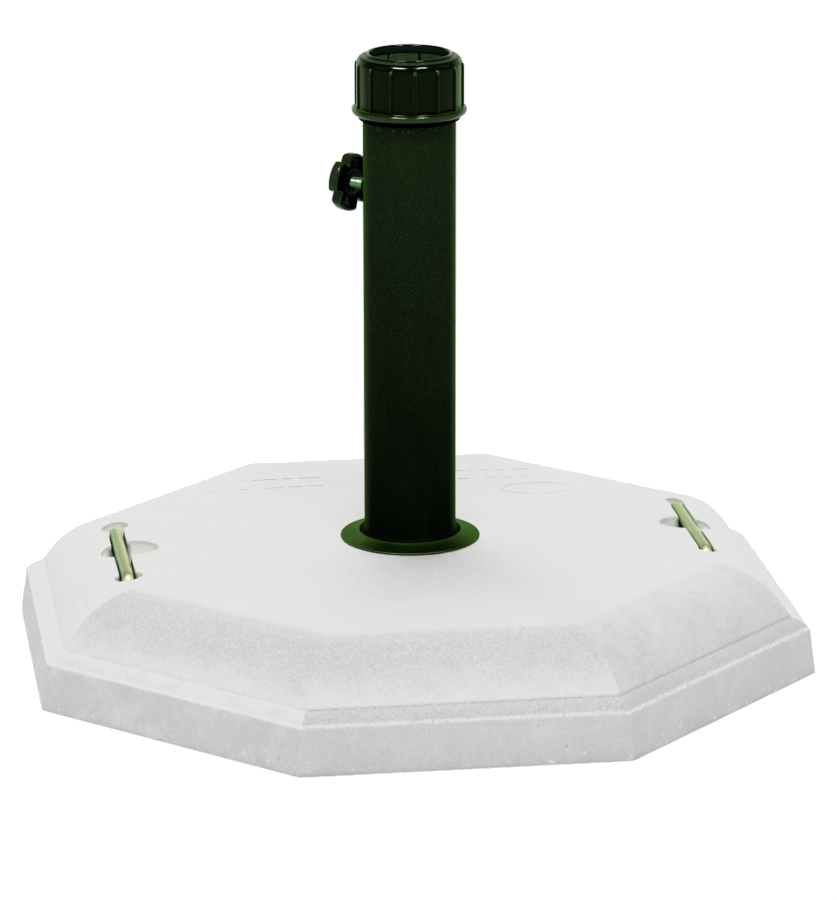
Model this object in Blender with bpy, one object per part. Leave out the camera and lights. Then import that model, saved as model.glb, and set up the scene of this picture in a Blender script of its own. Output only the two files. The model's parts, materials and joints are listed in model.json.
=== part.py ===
"""Parasol base: an octagonal cast-concrete plinth, a steel post, a screw collar and a side clamp knob.

Run it with: blender --background --python part.py
Units are metres and +Z is up. The origin is the centre of the plinth's underside, on the ground, and the post
stands on the Z axis. The plinth's front face looks along -Y and its two carrying handles are at -X and +X.
"""

import math

import bmesh
import bpy
from mathutils import Vector

# ---------------------------------------------------------------- driving dimensions
GAP = 0.0003  # between any two pieces that would touch

# plinth: half widths are measured from the axis to the middle of a side
SIDES = 8
FOOT_HALF_WIDTH = 0.251
FOOT_CHAMFER = 0.0012
RIM_HALF_WIDTH = 0.247
RIM_HEIGHT = 0.0302
LEDGE_WIDTH = 0.0112
LEDGE_RISE = 0.0072
LEDGE_HANDLES = ((0.0030, 0.0031), (0.0070, 0.0058))  # in and up, from the rim's edge
SHOULDER_LEAN = (0.0114, 0.0188)  # in and up, from the ledge to the curve's first handle
SHOULDER_TOP_HANDLE = 0.0280  # length of the curve's level handle at the top
TOP_HALF_WIDTH = 0.180
TOP_HEIGHT = 0.0711
CROWN_HALF_WIDTH = 0.048
CROWN_HEIGHT = 0.0736

# post
POST_RADIUS = 0.030
POST_WALL = 0.002
POST_FOOT = 0.012
POST_TOP = 0.358
FOOT_DISC_UNDERSIDE = 0.034
FOOT_DISC_THICKNESS = 0.003
ANCHOR_RADIUS = 0.004
ANCHOR_LENGTH = 0.150
ANCHOR_HEIGHTS = (0.0195, 0.0281)

# trim ring and flared collar round the foot of the post
ROSETTE_RADIUS = 0.0458
ROSETTE_HOLE = 0.0330
ROSETTE_EDGE = 0.0012
ROSETTE_RISE = 0.0038
COLLAR_RADIUS = 0.0326
COLLAR_TOP = 0.0845
COLLAR_UNDERSIDE = 0.0739

# carrying handles
HANDLE_X = 0.1903
HANDLES = (
    # name, side, the grip's middle along Y, the end bowls' radius, the scoop's shift outwards and half sizes
    ("left", -1, 0.004, 0.0090, -0.0053, (0.0190, 0.0155)),
    ("right", 1, 0.008, 0.0064, -0.0027, (0.0175, 0.0135)),
)
ROD_RADIUS = 0.004
GRIP_HEIGHT = 0.0672  # the rod's centre line
GRIP_HALF_LENGTH = 0.0550
LEG_FOOT_HEIGHT = 0.024
LEG_FOOT_REACH = 0.090
BEND_RADIUS = 0.0095
POCKET_HEIGHT = 0.0695
TROUGH_SIZE = (0.0054, 0.0054, 0.0120)  # half width, end radius and depth
TROUGH_HALF_LENGTH = 0.0565
BOWL_DEPTH = 0.0120
SCOOP_ALONG = 0.0036  # the scoop's shift along Y, from the grip's middle
SCOOP_DEPTH = 0.0150

# screw collar at the top of the post
THREAD_PITCH = 0.004
THREAD_ROOT_WIDTH = 0.0019
THREAD_CREST_WIDTH = 0.0010
SLEEVE_BORE = 0.0256
SLEEVE_SPIGOT = 0.0277
SLEEVE_FOOT = 0.328
FLANGE_RADIUS = 0.0306
FLANGE_THICKNESS = 0.0027
SLEEVE_CORE = 0.0296
SLEEVE_THREAD_CREST = 0.0310
SLEEVE_THREAD_START = 0.3645
SLEEVE_THREAD_TURNS = 2.75
FINGER_ROOT = 0.378
FINGER_TIP = 0.3912
FINGER_TIP_RADIUS = 0.0274
FINGER_SLOTS = 8
FINGER_SLOT_WIDTH = 0.0022
CAP_TOP = 0.397
CAP_FOOT = 0.3543
CAP_BORE = 0.0316
CAP_RADIUS = 0.0341
CAP_MOUTH = 0.0257
CAP_ROOF = 0.3917
CAP_THREAD_CREST = 0.0302
CAP_THREAD_START = 0.3625
CAP_THREAD_TURNS = 2.25
BEAD_HEIGHT = 0.3606
BEAD_RADIUS = 0.0020
RIB_COUNT = 14
RIB_HEIGHT = 0.0013
RIB_HALF_ANGLE = math.radians(1.8)
RIB_PHASE = math.radians(-92)
WEDGE_FOOT = 0.3802

# side clamp: distances run outwards from the post's axis
CLAMP_HEIGHT = 0.3055
CLAMP_HEADING = math.radians(135)
SCREW_RADIUS = 0.00395
SCREW_HOLE = 0.0043
NUT_ACROSS_FLATS = 0.013
NUT_FACE = 0.0348
PAD_FACE = 0.0243
PAD_THICKNESS = 0.0025
PAD_RADIUS = 0.0045
DOG_RADIUS = 0.0025
DOG_LENGTH = 0.0016
KNOB_BACK = 0.0452
KNOB_RADIUS = 0.0189
KNOB_THICKNESS = 0.0078
KNOB_DOME = 0.0018
KNOB_NOTCHES = 4
KNOB_NOTCH_DEPTHS = (0.0056, 0.0036)  # at the back and at the front
KNOB_NOTCH_HALF_ANGLE = math.radians(14.5)
KNOB_TURN = math.radians(68.5)  # turn of the notches about the screw
KNOB_RIM_WALL = 0.0030
KNOB_HUB_RADIUS = 0.0097
KNOB_GROOVE_DEPTH = 0.0028
KNOB_SOCKET_DEPTH = 0.0064

# how finely round shapes are drawn
ROUND = 48
SMALL_ROUND = 24
ROD_ROUND = 12
THREAD_STEPS = 36

MATERIALS = {
    # colour, roughness, metallic
    "concrete": ((0.74, 0.74, 0.72), 0.90, 0.0),
    "post_paint": ((0.030, 0.050, 0.032), 0.45, 0.0),
    "ring_paint": ((0.090, 0.160, 0.070), 0.50, 0.0),
    "green_plastic": ((0.022, 0.045, 0.020), 0.22, 0.0),
    "sleeve_plastic": ((0.10, 0.16, 0.10), 0.40, 0.0),
    "seal_rubber": ((0.012, 0.014, 0.012), 0.70, 0.0),
    "zinc_steel": ((0.62, 0.66, 0.52), 0.35, 1.0),
    "bare_steel": ((0.45, 0.44, 0.42), 0.50, 1.0),
}


# ---------------------------------------------------------------- scene helpers
def clear_scene():
    for obj in list(bpy.data.objects):
        bpy.data.objects.remove(obj, do_unlink=True)


def material(name):
    found = bpy.data.materials.get(name)
    if found:
        return found
    colour, roughness, metallic = MATERIALS[name]
    made = bpy.data.materials.new(name)
    made.use_nodes = True
    shader = made.node_tree.nodes["Principled BSDF"]
    shader.inputs["Base Color"].default_value = (*colour, 1.0)
    shader.inputs["Roughness"].default_value = roughness
    shader.inputs["Metallic"].default_value = metallic
    return made


def add_object(name, bm, material_name=None, parent=None):
    """Makes an object from bm. Without a material it is a helper that only cuts or joins other objects."""
    bmesh.ops.recalc_face_normals(bm, faces=bm.faces)
    mesh = bpy.data.meshes.new(name)
    bm.to_mesh(mesh)
    bm.free()
    mesh.shade_smooth()
    mesh.set_sharp_from_angle(angle=math.radians(30))
    obj = bpy.data.objects.new(name, mesh)
    bpy.context.scene.collection.objects.link(obj)
    obj.parent = parent
    if material_name:
        mesh.materials.append(material(material_name))
    else:
        obj.hide_render = True
        obj.display_type = "WIRE"
    return obj


def combine(obj, other, operation):
    modifier = obj.modifiers.new(f"{operation.lower()}_{other.name}", "BOOLEAN")
    modifier.operation = operation
    modifier.solver = "EXACT"
    modifier.object = other


def cut(obj, *cutters):
    for cutter in cutters:
        combine(obj, cutter, "DIFFERENCE")


# ---------------------------------------------------------------- shape helpers
def even_angles(count):
    return [2 * math.pi * i / count for i in range(count)]


def circle(radius, height, angles):
    return [Vector((radius * math.cos(a), radius * math.sin(a), height)) for a in angles]


def skin(rings, closed=False):
    """A solid from rings of points: neighbours are joined, and the two ends are joined or filled."""
    bm = bmesh.new()
    loops = [[bm.verts.new(point) for point in ring] for ring in rings]
    pairs = list(zip(loops, loops[1:]))
    if closed:
        pairs.append((loops[-1], loops[0]))
    else:
        bm.faces.new(loops[0])
        bm.faces.new(loops[-1])
    for low, high in pairs:
        for i in range(len(low)):
            j = (i + 1) % len(low)
            bm.faces.new((low[i], low[j], high[j], high[i]))
    return bm


def turned(profile, count=ROUND, closed=True):
    """Turns a profile of (radius, height) points about the Z axis."""
    angles = even_angles(count)
    return skin([circle(radius, height, angles) for radius, height in profile], closed)


def cylinder(radius, low, high, count=ROUND):
    return turned([(radius, low), (radius, high)], count, closed=False)


def arc(centre, radii, start, end, steps):
    """Points (radius, height) of a quarter or other stretch of an ellipse, angles in degrees."""
    points = []
    for i in range(steps + 1):
        angle = math.radians(start + (end - start) * i / steps)
        points.append((centre[0] + radii[0] * math.cos(angle), centre[1] + radii[1] * math.sin(angle)))
    return points


def bezier(p0, p1, p2, p3, steps):
    points = []
    for i in range(steps + 1):
        t = i / steps
        weights = ((1 - t) ** 3, 3 * t * (1 - t) ** 2, 3 * t * t * (1 - t), t**3)
        points.append(
            tuple(sum(w * p[k] for w, p in zip(weights, (p0, p1, p2, p3))) for k in range(2))
        )
    return points


def bent_path(corners, bend_radius, steps):
    """The centre line through corners, with each inner corner rounded to bend_radius."""
    path = [corners[0]]
    for before, corner, after in zip(corners, corners[1:], corners[2:]):
        into, out = (corner - before).normalized(), (after - corner).normalized()
        turn = into.angle(out)
        start = corner - into * bend_radius * math.tan(turn / 2)
        inward = (out - into * into.dot(out)).normalized()
        centre = start + inward * bend_radius
        for i in range(steps + 1):
            angle = turn * i / steps
            spoke = into * math.sin(angle) - inward * math.cos(angle)
            path.append(centre + spoke * bend_radius)
    path.append(corners[-1])
    return path


def rod(path, radius, side, count=ROD_ROUND):
    """A round rod along a flat path. side is the direction square to the path's plane."""
    rings = []
    for i, point in enumerate(path):
        along = (path[min(i + 1, len(path) - 1)] - path[max(i - 1, 0)]).normalized()
        up = side.cross(along)
        rings.append([point + radius * (side * math.cos(a) + up * math.sin(a)) for a in even_angles(count)])
    return skin(rings)


def helical_ridge(root, crest, start, turns):
    """A thread ridge from radius root to radius crest, rising anticlockwise, with run-out at both ends."""
    steps = round(turns * THREAD_STEPS)
    runout = THREAD_STEPS // 6
    rings = []
    for i in range(steps + 1):
        angle = 2 * math.pi * i / THREAD_STEPS
        height = start + THREAD_PITCH * i / THREAD_STEPS
        share = min(1.0, (min(i, steps - i) + 1) / (runout + 1))
        tip = root + (crest - root) * (0.35 + 0.65 * share)
        section = (
            (root, -THREAD_ROOT_WIDTH / 2),
            (tip, -THREAD_CREST_WIDTH / 2),
            (tip, THREAD_CREST_WIDTH / 2),
            (root, THREAD_ROOT_WIDTH / 2),
        )
        rings.append([Vector((r * math.cos(angle), r * math.sin(angle), height + z)) for r, z in section])
    return skin(rings)


# ---------------------------------------------------------------- plinth
def octagon(half_width, height):
    corner = half_width / math.cos(math.pi / SIDES)
    return circle(corner, height, [a + math.pi / SIDES for a in even_angles(SIDES)])


def plinth_profile():
    """(half width, height) from the underside, over the rim, ledge and shoulder, to the crown."""
    rim_edge = (RIM_HALF_WIDTH, RIM_HEIGHT)
    ledge_foot = (RIM_HALF_WIDTH - LEDGE_WIDTH, RIM_HEIGHT + LEDGE_RISE)
    handles = [(RIM_HALF_WIDTH - inwards, RIM_HEIGHT + up) for inwards, up in LEDGE_HANDLES]
    ledge = bezier(rim_edge, *handles, ledge_foot, 4)
    lean = (ledge_foot[0] - SHOULDER_LEAN[0], ledge_foot[1] + SHOULDER_LEAN[1])
    level = (TOP_HALF_WIDTH + SHOULDER_TOP_HANDLE, TOP_HEIGHT)
    shoulder = bezier(ledge_foot, lean, level, (TOP_HALF_WIDTH, TOP_HEIGHT), 9)
    foot = [(FOOT_HALF_WIDTH - FOOT_CHAMFER, 0.0), (FOOT_HALF_WIDTH, FOOT_CHAMFER)]
    return foot + ledge + shoulder[1:] + [(CROWN_HALF_WIDTH, CROWN_HEIGHT)]


def handle_path(side, middle, trim=0.0):
    """Grip, two legs and outward feet, in the plane x = side * HANDLE_X. trim shortens each foot."""
    half = (
        (trim - LEG_FOOT_REACH, LEG_FOOT_HEIGHT),
        (-GRIP_HALF_LENGTH, LEG_FOOT_HEIGHT),
        (-GRIP_HALF_LENGTH, GRIP_HEIGHT),
    )
    outline = list(half) + [(-y, z) for y, z in reversed(half)]
    corners = [Vector((side * HANDLE_X, middle + y, z)) for y, z in outline]
    return bent_path(corners, BEND_RADIUS, 5)


def stretched_ball(centre, size, half_gap=0.0, segments=16):
    """A ball scaled to size, its two halves drawn apart along Y by half_gap each."""
    bm = bmesh.new()
    bmesh.ops.create_uvsphere(bm, u_segments=segments, v_segments=segments // 2, radius=1)
    for vert in bm.verts:
        side = 0 if abs(vert.co.y) < 1e-6 else math.copysign(1, vert.co.y)
        vert.co = Vector(centre) + Vector([c * s for c, s in zip(vert.co, size)])
        vert.co.y += side * half_gap
    return bm


def pocket_cutters(label, side, middle, bowl_radius, scoop_shift, scoop_half_sizes):
    """The hollows round a grip: a trough for the rod, a bowl at each end and a finger scoop across it."""
    x = side * HANDLE_X
    straight = TROUGH_HALF_LENGTH - TROUGH_SIZE[1]
    bowl = (bowl_radius, bowl_radius, BOWL_DEPTH)
    scoop_at = (x + side * scoop_shift, middle + SCOOP_ALONG, POCKET_HEIGHT)
    hollows = {
        "trough": stretched_ball((x, middle, POCKET_HEIGHT), TROUGH_SIZE, straight),
        "scoop": stretched_ball(scoop_at, (*scoop_half_sizes, SCOOP_DEPTH), segments=20),
        "bowl_near": stretched_ball((x, middle - GRIP_HALF_LENGTH, POCKET_HEIGHT), bowl),
        "bowl_far": stretched_ball((x, middle + GRIP_HALF_LENGTH, POCKET_HEIGHT), bowl),
    }
    return [add_object(f"cut_{label}_{name}", hollow) for name, hollow in hollows.items()]


def anchor_path(along, height, extra=0.0):
    reach = along * (ANCHOR_LENGTH / 2 + extra)
    lift = Vector((0, 0, height))
    return [lift - reach, lift + reach]


def build_plinth():
    plinth = add_object("plinth", skin([octagon(*point) for point in plinth_profile()]), "concrete")
    wall = (POST_RADIUS - POST_WALL - GAP, POST_RADIUS + GAP)
    well = [
        (wall[0], POST_FOOT - GAP),
        (wall[1], POST_FOOT - GAP),
        (wall[1], COLLAR_TOP),
        (0.002, COLLAR_TOP),
        (0.002, FOOT_DISC_UNDERSIDE - GAP),
        (wall[0], FOOT_DISC_UNDERSIDE - GAP),
    ]
    core = [(0.003, FOOT_DISC_UNDERSIDE - GAP), (0.003, COLLAR_TOP)]
    cut(plinth, add_object("cut_well", turned(well)))
    cut(plinth, add_object("cut_core", turned(core, SMALL_ROUND, closed=False)))
    for axis, height in zip((Vector((1, 0, 0)), Vector((0, 1, 0))), ANCHOR_HEIGHTS):
        path = anchor_path(axis, height, GAP)
        cutter = rod(path, ANCHOR_RADIUS + GAP, axis.cross(Vector((0, 0, 1))))
        cut(plinth, add_object(f"cut_anchor_{'xy'[round(axis.y)]}", cutter))
    for handle in HANDLES:
        label, side, middle = handle[:3]
        slot = rod(handle_path(side, middle), ROD_RADIUS + GAP, Vector((1, 0, 0)))
        cut(plinth, add_object(f"cut_handle_{label}", slot), *pocket_cutters(*handle))


def build_handles():
    for label, side, middle, *_ in HANDLES:
        path = handle_path(side, middle, trim=GAP)
        add_object(f"handle_{label}", rod(path, ROD_RADIUS, Vector((1, 0, 0))), "zinc_steel")


# ---------------------------------------------------------------- post and its foot
def build_post(clamp_axis):
    inside = POST_RADIUS - POST_WALL
    profile = [(inside, POST_FOOT), (POST_RADIUS, POST_FOOT), (POST_RADIUS, POST_TOP), (inside, POST_TOP)]
    tube = add_object("post_tube", turned(profile), "post_paint")
    hole = cylinder(SCREW_HOLE, inside - 0.003, POST_RADIUS + 0.003, SMALL_ROUND)
    cut(tube, add_object("cut_screw_hole", hole, parent=clamp_axis))
    disc_radius = inside - GAP
    disc_top = FOOT_DISC_UNDERSIDE + FOOT_DISC_THICKNESS
    add_object("foot_disc", cylinder(disc_radius, FOOT_DISC_UNDERSIDE, disc_top), "bare_steel")
    for name, axis, height in (
        ("anchor_rod_lower", Vector((1, 0, 0)), ANCHOR_HEIGHTS[0]),
        ("anchor_rod_upper", Vector((0, 1, 0)), ANCHOR_HEIGHTS[1]),
    ):
        square = axis.cross(Vector((0, 0, 1)))
        add_object(name, rod(anchor_path(axis, height), ANCHOR_RADIUS, square), "bare_steel")
        hole = rod(anchor_path(axis, height, 0.005), ANCHOR_RADIUS + GAP, square)
        cut(tube, add_object(f"cut_{name}_hole", hole))


def build_rosette():
    base = CROWN_HEIGHT + GAP
    inner_base = base + ROSETTE_RISE - ROSETTE_EDGE
    profile = [
        (ROSETTE_HOLE, inner_base),
        (ROSETTE_RADIUS - 0.004, base),
        (ROSETTE_RADIUS - 0.0004, base),
        (ROSETTE_RADIUS, base + 0.0005),
        (ROSETTE_RADIUS - 0.0006, base + ROSETTE_EDGE),
        (ROSETTE_HOLE + 0.0010, base + ROSETTE_EDGE + ROSETTE_RISE - 0.0003),
        (ROSETTE_HOLE, base + ROSETTE_EDGE + ROSETTE_RISE - 0.0008),
    ]
    add_object("base_rosette", turned(profile), "ring_paint")


def build_foot_collar():
    bore = POST_RADIUS + GAP
    reach = COLLAR_RADIUS - bore - 0.0004
    rise = 0.0062
    flare = arc((COLLAR_RADIUS, COLLAR_TOP), (reach, rise), 270, 180, 5)
    profile = [(bore, COLLAR_UNDERSIDE), (COLLAR_RADIUS, COLLAR_UNDERSIDE)] + flare + [(bore, COLLAR_TOP)]
    add_object("foot_collar", turned(profile), "post_paint")


# ---------------------------------------------------------------- screw collar
def build_sleeve():
    seat = POST_TOP + GAP
    flange_top = seat + FLANGE_THICKNESS
    profile = [
        (SLEEVE_BORE, SLEEVE_FOOT),
        (SLEEVE_SPIGOT - 0.001, SLEEVE_FOOT),
        (SLEEVE_SPIGOT, SLEEVE_FOOT + 0.003),
        (SLEEVE_SPIGOT, seat),
        (FLANGE_RADIUS, seat),
        (FLANGE_RADIUS, flange_top),
        (SLEEVE_CORE, flange_top),
        (SLEEVE_CORE, FINGER_ROOT),
        (FINGER_TIP_RADIUS, FINGER_TIP - 0.0006),
        (FINGER_TIP_RADIUS - 0.0006, FINGER_TIP),
        (SLEEVE_BORE, FINGER_TIP),
    ]
    sleeve = add_object("collet_sleeve", turned(profile), "sleeve_plastic")
    ridge = helical_ridge(
        SLEEVE_CORE - 0.0007, SLEEVE_THREAD_CREST, SLEEVE_THREAD_START, SLEEVE_THREAD_TURNS
    )
    combine(sleeve, add_object("join_sleeve_thread", ridge), "UNION")
    slots = bmesh.new()
    for i in range(FINGER_SLOTS):
        blade = bmesh.ops.create_cube(slots, size=1)["verts"]
        reach = (SLEEVE_BORE - 0.004, SLEEVE_CORE + 0.004)
        middle = (reach[0] + reach[1]) / 2
        turn = 2 * math.pi * (i + 0.5) / FINGER_SLOTS
        for vert in blade:
            x = vert.co.x * (reach[1] - reach[0]) + middle
            y = vert.co.y * FINGER_SLOT_WIDTH
            z = FINGER_ROOT if vert.co.z < 0 else FINGER_TIP + 0.004
            vert.co = (
                x * math.cos(turn) - y * math.sin(turn),
                x * math.sin(turn) + y * math.cos(turn),
                z,
            )
    cut(sleeve, add_object("cut_finger_slots", slots))


def build_wedge_ring():
    """The loose ring that the cap presses down over the tapered fingers."""
    top = CAP_ROOF - GAP
    slope = (SLEEVE_CORE - FINGER_TIP_RADIUS) / (FINGER_TIP - FINGER_ROOT)
    clearance = 0.0005
    foot_bore = SLEEVE_CORE - slope * (WEDGE_FOOT - FINGER_ROOT) + clearance
    top_bore = SLEEVE_CORE - slope * (top - FINGER_ROOT) + clearance
    outside = CAP_BORE - 0.0005
    profile = [
        (foot_bore, WEDGE_FOOT),
        (outside - 0.0006, WEDGE_FOOT),
        (outside, WEDGE_FOOT + 0.0006),
        (outside, top),
        (top_bore, top),
    ]
    add_object("wedge_ring", turned(profile), "sleeve_plastic")


def cap_angles():
    """Angles that follow the ribs: three across each rib and one in the middle of each panel."""
    step = 2 * math.pi / RIB_COUNT
    angles = []
    for i in range(RIB_COUNT):
        middle = i * step + RIB_PHASE
        angles += [middle - RIB_HALF_ANGLE, middle, middle + RIB_HALF_ANGLE, middle + step / 2]
    return angles


def cap_ring(radius, height, rib=0.0):
    ring = circle(radius, height, cap_angles())
    for i in range(1, len(ring), 4):
        outwards = Vector((ring[i].x, ring[i].y, 0)).normalized()
        ring[i] += outwards * rib
    return ring


def build_cap():
    shoulder = arc((CAP_RADIUS - 0.0045, CAP_TOP - 0.0068), (0.0045, 0.0050), 0, 75, 4)
    bead = arc((CAP_RADIUS + 0.0010, BEAD_HEIGHT), (BEAD_RADIUS, BEAD_RADIUS), -70, 70, 4)
    rib_foot, rib_top = BEAD_HEIGHT + BEAD_RADIUS + 0.0002, shoulder[0][1] + 0.0004
    rings = [cap_ring(CAP_BORE, CAP_FOOT)]
    rings.append(cap_ring(CAP_BORE + 0.0012, CAP_FOOT))
    rings += [cap_ring(*point) for point in bead]
    rings.append(cap_ring(CAP_RADIUS, rib_foot, RIB_HEIGHT))
    rings.append(cap_ring(CAP_RADIUS, rib_top - 0.0012, RIB_HEIGHT))
    rings.append(cap_ring(CAP_RADIUS, rib_top, RIB_HEIGHT * 0.3))
    rings += [cap_ring(*point) for point in shoulder[1:]]
    rings.append(cap_ring(CAP_MOUTH + 0.0022, CAP_TOP - 0.0010))
    rings.append(cap_ring(CAP_MOUTH + 0.0016, CAP_TOP - 0.0002))
    rings.append(cap_ring(CAP_MOUTH + 0.0008, CAP_TOP))
    rings.append(cap_ring(CAP_MOUTH, CAP_TOP - 0.0008))
    rings.append(cap_ring(CAP_MOUTH, CAP_ROOF))
    rings.append(cap_ring(CAP_BORE, CAP_ROOF))
    cap = add_object("lock_cap", skin(rings, closed=True), "green_plastic")
    ridge = helical_ridge(
        CAP_BORE + 0.0009, CAP_THREAD_CREST, CAP_THREAD_START + THREAD_PITCH, CAP_THREAD_TURNS
    )
    combine(cap, add_object("join_cap_thread", ridge), "UNION")


# ---------------------------------------------------------------- side clamp
def build_clamp_axis():
    """An empty on the post's axis at the clamp's height, whose own Z axis points outwards along the screw."""
    axis = bpy.data.objects.new("clamp_axis", None)
    bpy.context.scene.collection.objects.link(axis)
    axis.location = (0, 0, CLAMP_HEIGHT)
    axis.rotation_euler = (0, math.pi / 2, CLAMP_HEADING)
    return axis


def build_weld_nut(clamp_axis):
    corner = NUT_ACROSS_FLATS / 2 / math.cos(math.pi / 6)
    chamfer = 0.0008
    angles = even_angles(6)
    rings = [
        circle(corner, POST_RADIUS - 0.003, angles),
        circle(corner, NUT_FACE - chamfer, angles),
        circle(corner - chamfer, NUT_FACE, angles),
    ]
    nut = add_object("weld_nut", skin(rings), "post_paint", clamp_axis)
    cut(nut, add_object("cut_nut_saddle", cylinder(POST_RADIUS + GAP, 0.28, 0.33)))
    bore = cylinder(SCREW_HOLE, POST_RADIUS - 0.005, NUT_FACE + 0.002, SMALL_ROUND)
    cut(nut, add_object("cut_nut_bore", bore, parent=clamp_axis))


def build_clamp_screw(clamp_axis):
    shank_start = PAD_FACE + PAD_THICKNESS + GAP
    end = KNOB_BACK + KNOB_SOCKET_DEPTH - GAP
    profile = [
        (DOG_RADIUS, shank_start - GAP - DOG_LENGTH),
        (DOG_RADIUS, shank_start),
        (SCREW_RADIUS, shank_start),
        (SCREW_RADIUS, end),
    ]
    add_object("clamp_screw", turned(profile, SMALL_ROUND, closed=False), "zinc_steel", clamp_axis)


def build_clamp_pad(clamp_axis):
    back = PAD_FACE + PAD_THICKNESS
    socket = back - DOG_LENGTH - GAP
    profile = [
        (PAD_RADIUS - 0.0005, PAD_FACE),
        (PAD_RADIUS, PAD_FACE + 0.0005),
        (PAD_RADIUS, back),
        (DOG_RADIUS + GAP, back),
        (DOG_RADIUS + GAP, socket),
    ]
    add_object("clamp_pad", turned(profile, SMALL_ROUND, closed=False), "seal_rubber", clamp_axis)


def knob_outline(inset, height, count=72):
    """The lobed outline at a height, pulled in by inset. The notches get shallower towards the front."""
    ring = []
    share_up = min(1.0, max(0.0, (height - KNOB_BACK) / KNOB_THICKNESS))
    depth = KNOB_NOTCH_DEPTHS[0] + (KNOB_NOTCH_DEPTHS[1] - KNOB_NOTCH_DEPTHS[0]) * share_up
    pitch = 2 * math.pi / KNOB_NOTCHES
    for angle in even_angles(count):
        off = abs((angle + pitch / 2) % pitch - pitch / 2)
        share = 0.5 + 0.5 * math.cos(math.pi * min(off / KNOB_NOTCH_HALF_ANGLE, 1.0))
        radius = KNOB_RADIUS - depth * max(0.0, share) ** 0.65 - inset
        ring.append(Vector((radius * math.cos(angle), radius * math.sin(angle), height)))
    return ring


def build_knob(clamp_axis):
    front = KNOB_BACK + KNOB_THICKNESS
    groove = KNOB_BACK + KNOB_GROOVE_DEPTH
    angles = even_angles(72)
    bore = SCREW_RADIUS + GAP
    rings = [
        circle(bore, KNOB_BACK + KNOB_SOCKET_DEPTH, angles),
        circle(bore, KNOB_BACK, angles),
        circle(KNOB_HUB_RADIUS, KNOB_BACK, angles),
        circle(KNOB_HUB_RADIUS + 0.0003, groove, angles),
        knob_outline(KNOB_RIM_WALL, groove),
        knob_outline(KNOB_RIM_WALL - 0.0004, KNOB_BACK),
        knob_outline(0.0008, KNOB_BACK),
        knob_outline(0.0, KNOB_BACK + 0.0010),
        knob_outline(0.0, front - 0.0030),
        knob_outline(0.0010, front - 0.0008),
        knob_outline(0.0030, front),
        circle(0.0070, front + KNOB_DOME, angles),
    ]
    knob = add_object("clamp_knob", skin(rings), "green_plastic", clamp_axis)
    knob.rotation_euler.z = KNOB_TURN


def main():
    clear_scene()
    clamp_axis = build_clamp_axis()
    build_plinth()
    build_handles()
    build_post(clamp_axis)
    build_rosette()
    build_foot_collar()
    build_sleeve()
    build_wedge_ring()
    build_cap()
    build_weld_nut(clamp_axis)
    build_clamp_screw(clamp_axis)
    build_clamp_pad(clamp_axis)
    build_knob(clamp_axis)


main()
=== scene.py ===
"""Looks of the parasol base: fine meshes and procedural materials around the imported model.

Every mesh is in metres in the model's own frame: +Z up the post, -Y the plinth's front, +X the right handle.
"""

import json
from math import atan2, copysign, cos, exp, hypot, pi, radians, sin, sqrt, tan
from types import SimpleNamespace

import bmesh
import bpy
from mathutils import Euler, Matrix, Vector, noise


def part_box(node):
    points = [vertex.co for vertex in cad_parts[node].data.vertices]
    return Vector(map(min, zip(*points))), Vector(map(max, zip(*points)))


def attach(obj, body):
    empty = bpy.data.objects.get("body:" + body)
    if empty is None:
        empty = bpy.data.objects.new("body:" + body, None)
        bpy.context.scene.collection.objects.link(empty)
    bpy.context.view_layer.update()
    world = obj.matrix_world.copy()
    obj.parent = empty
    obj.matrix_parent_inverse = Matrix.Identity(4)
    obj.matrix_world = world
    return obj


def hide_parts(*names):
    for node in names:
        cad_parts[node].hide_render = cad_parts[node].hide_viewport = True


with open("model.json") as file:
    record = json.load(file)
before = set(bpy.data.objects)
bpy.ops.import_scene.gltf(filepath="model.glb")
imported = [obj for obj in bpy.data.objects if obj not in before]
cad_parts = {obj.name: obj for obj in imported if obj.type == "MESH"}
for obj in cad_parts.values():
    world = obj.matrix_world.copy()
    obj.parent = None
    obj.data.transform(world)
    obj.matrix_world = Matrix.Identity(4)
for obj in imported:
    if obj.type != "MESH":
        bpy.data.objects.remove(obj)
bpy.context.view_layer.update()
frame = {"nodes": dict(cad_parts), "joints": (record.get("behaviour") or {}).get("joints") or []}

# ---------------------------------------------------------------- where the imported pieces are
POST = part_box("post_tube")
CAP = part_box("lock_cap")
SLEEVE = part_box("collet_sleeve")
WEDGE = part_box("wedge_ring")
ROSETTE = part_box("base_rosette")
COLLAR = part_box("foot_collar")
POST_RADIUS = POST[1].x
KNOB_JOINT = next(joint for joint in frame["joints"] if joint["name"] == "knob_turn")
CLAMP_AXIS = Vector(KNOB_JOINT["axis"]).normalized()
CLAMP_HEIGHT = KNOB_JOINT["pos_m"][2]

# ---------------------------------------------------------------- plinth
SIDES = 8
FOOT_HALF_WIDTH = 0.251
FOOT_EDGE = 0.0012
RIM_HALF_WIDTH = 0.247
RIM_HEIGHT = 0.0302
LEDGE_WIDTH = 0.0112
LEDGE_RISE = 0.0072
LEDGE_HANDLES = ((0.0030, 0.0031), (0.0070, 0.0058))
SHOULDER_LEAN = (0.0114, 0.0188)
SHOULDER_TOP_HANDLE = 0.0280
TOP_HALF_WIDTH = 0.180
TOP_HEIGHT = 0.0711
CROWN_HALF_WIDTH = 0.048
CROWN_HEIGHT = 0.0736
HIP_RADIUS = 0.0009
SIDE_SPLITS = 44
HIP_STEPS = 4
WELL_RADIUS = 0.0303
WELL_EDGE = 0.0008
WELL_CORE = 0.0277
WELL_FLOOR = 0.0117
CORE_TOP = 0.0337

# unevenness of the cast surface: depths, and how many waves fit in a metre
WAVES = ((0.00022, 26), (0.00010, 95))
CHIP_DEPTH = 0.0016
CHIP_WAVES = 140
CHIP_EDGE_WIDTH = 0.0011
CHIP_HIP_WIDTH = 0.0030

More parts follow.
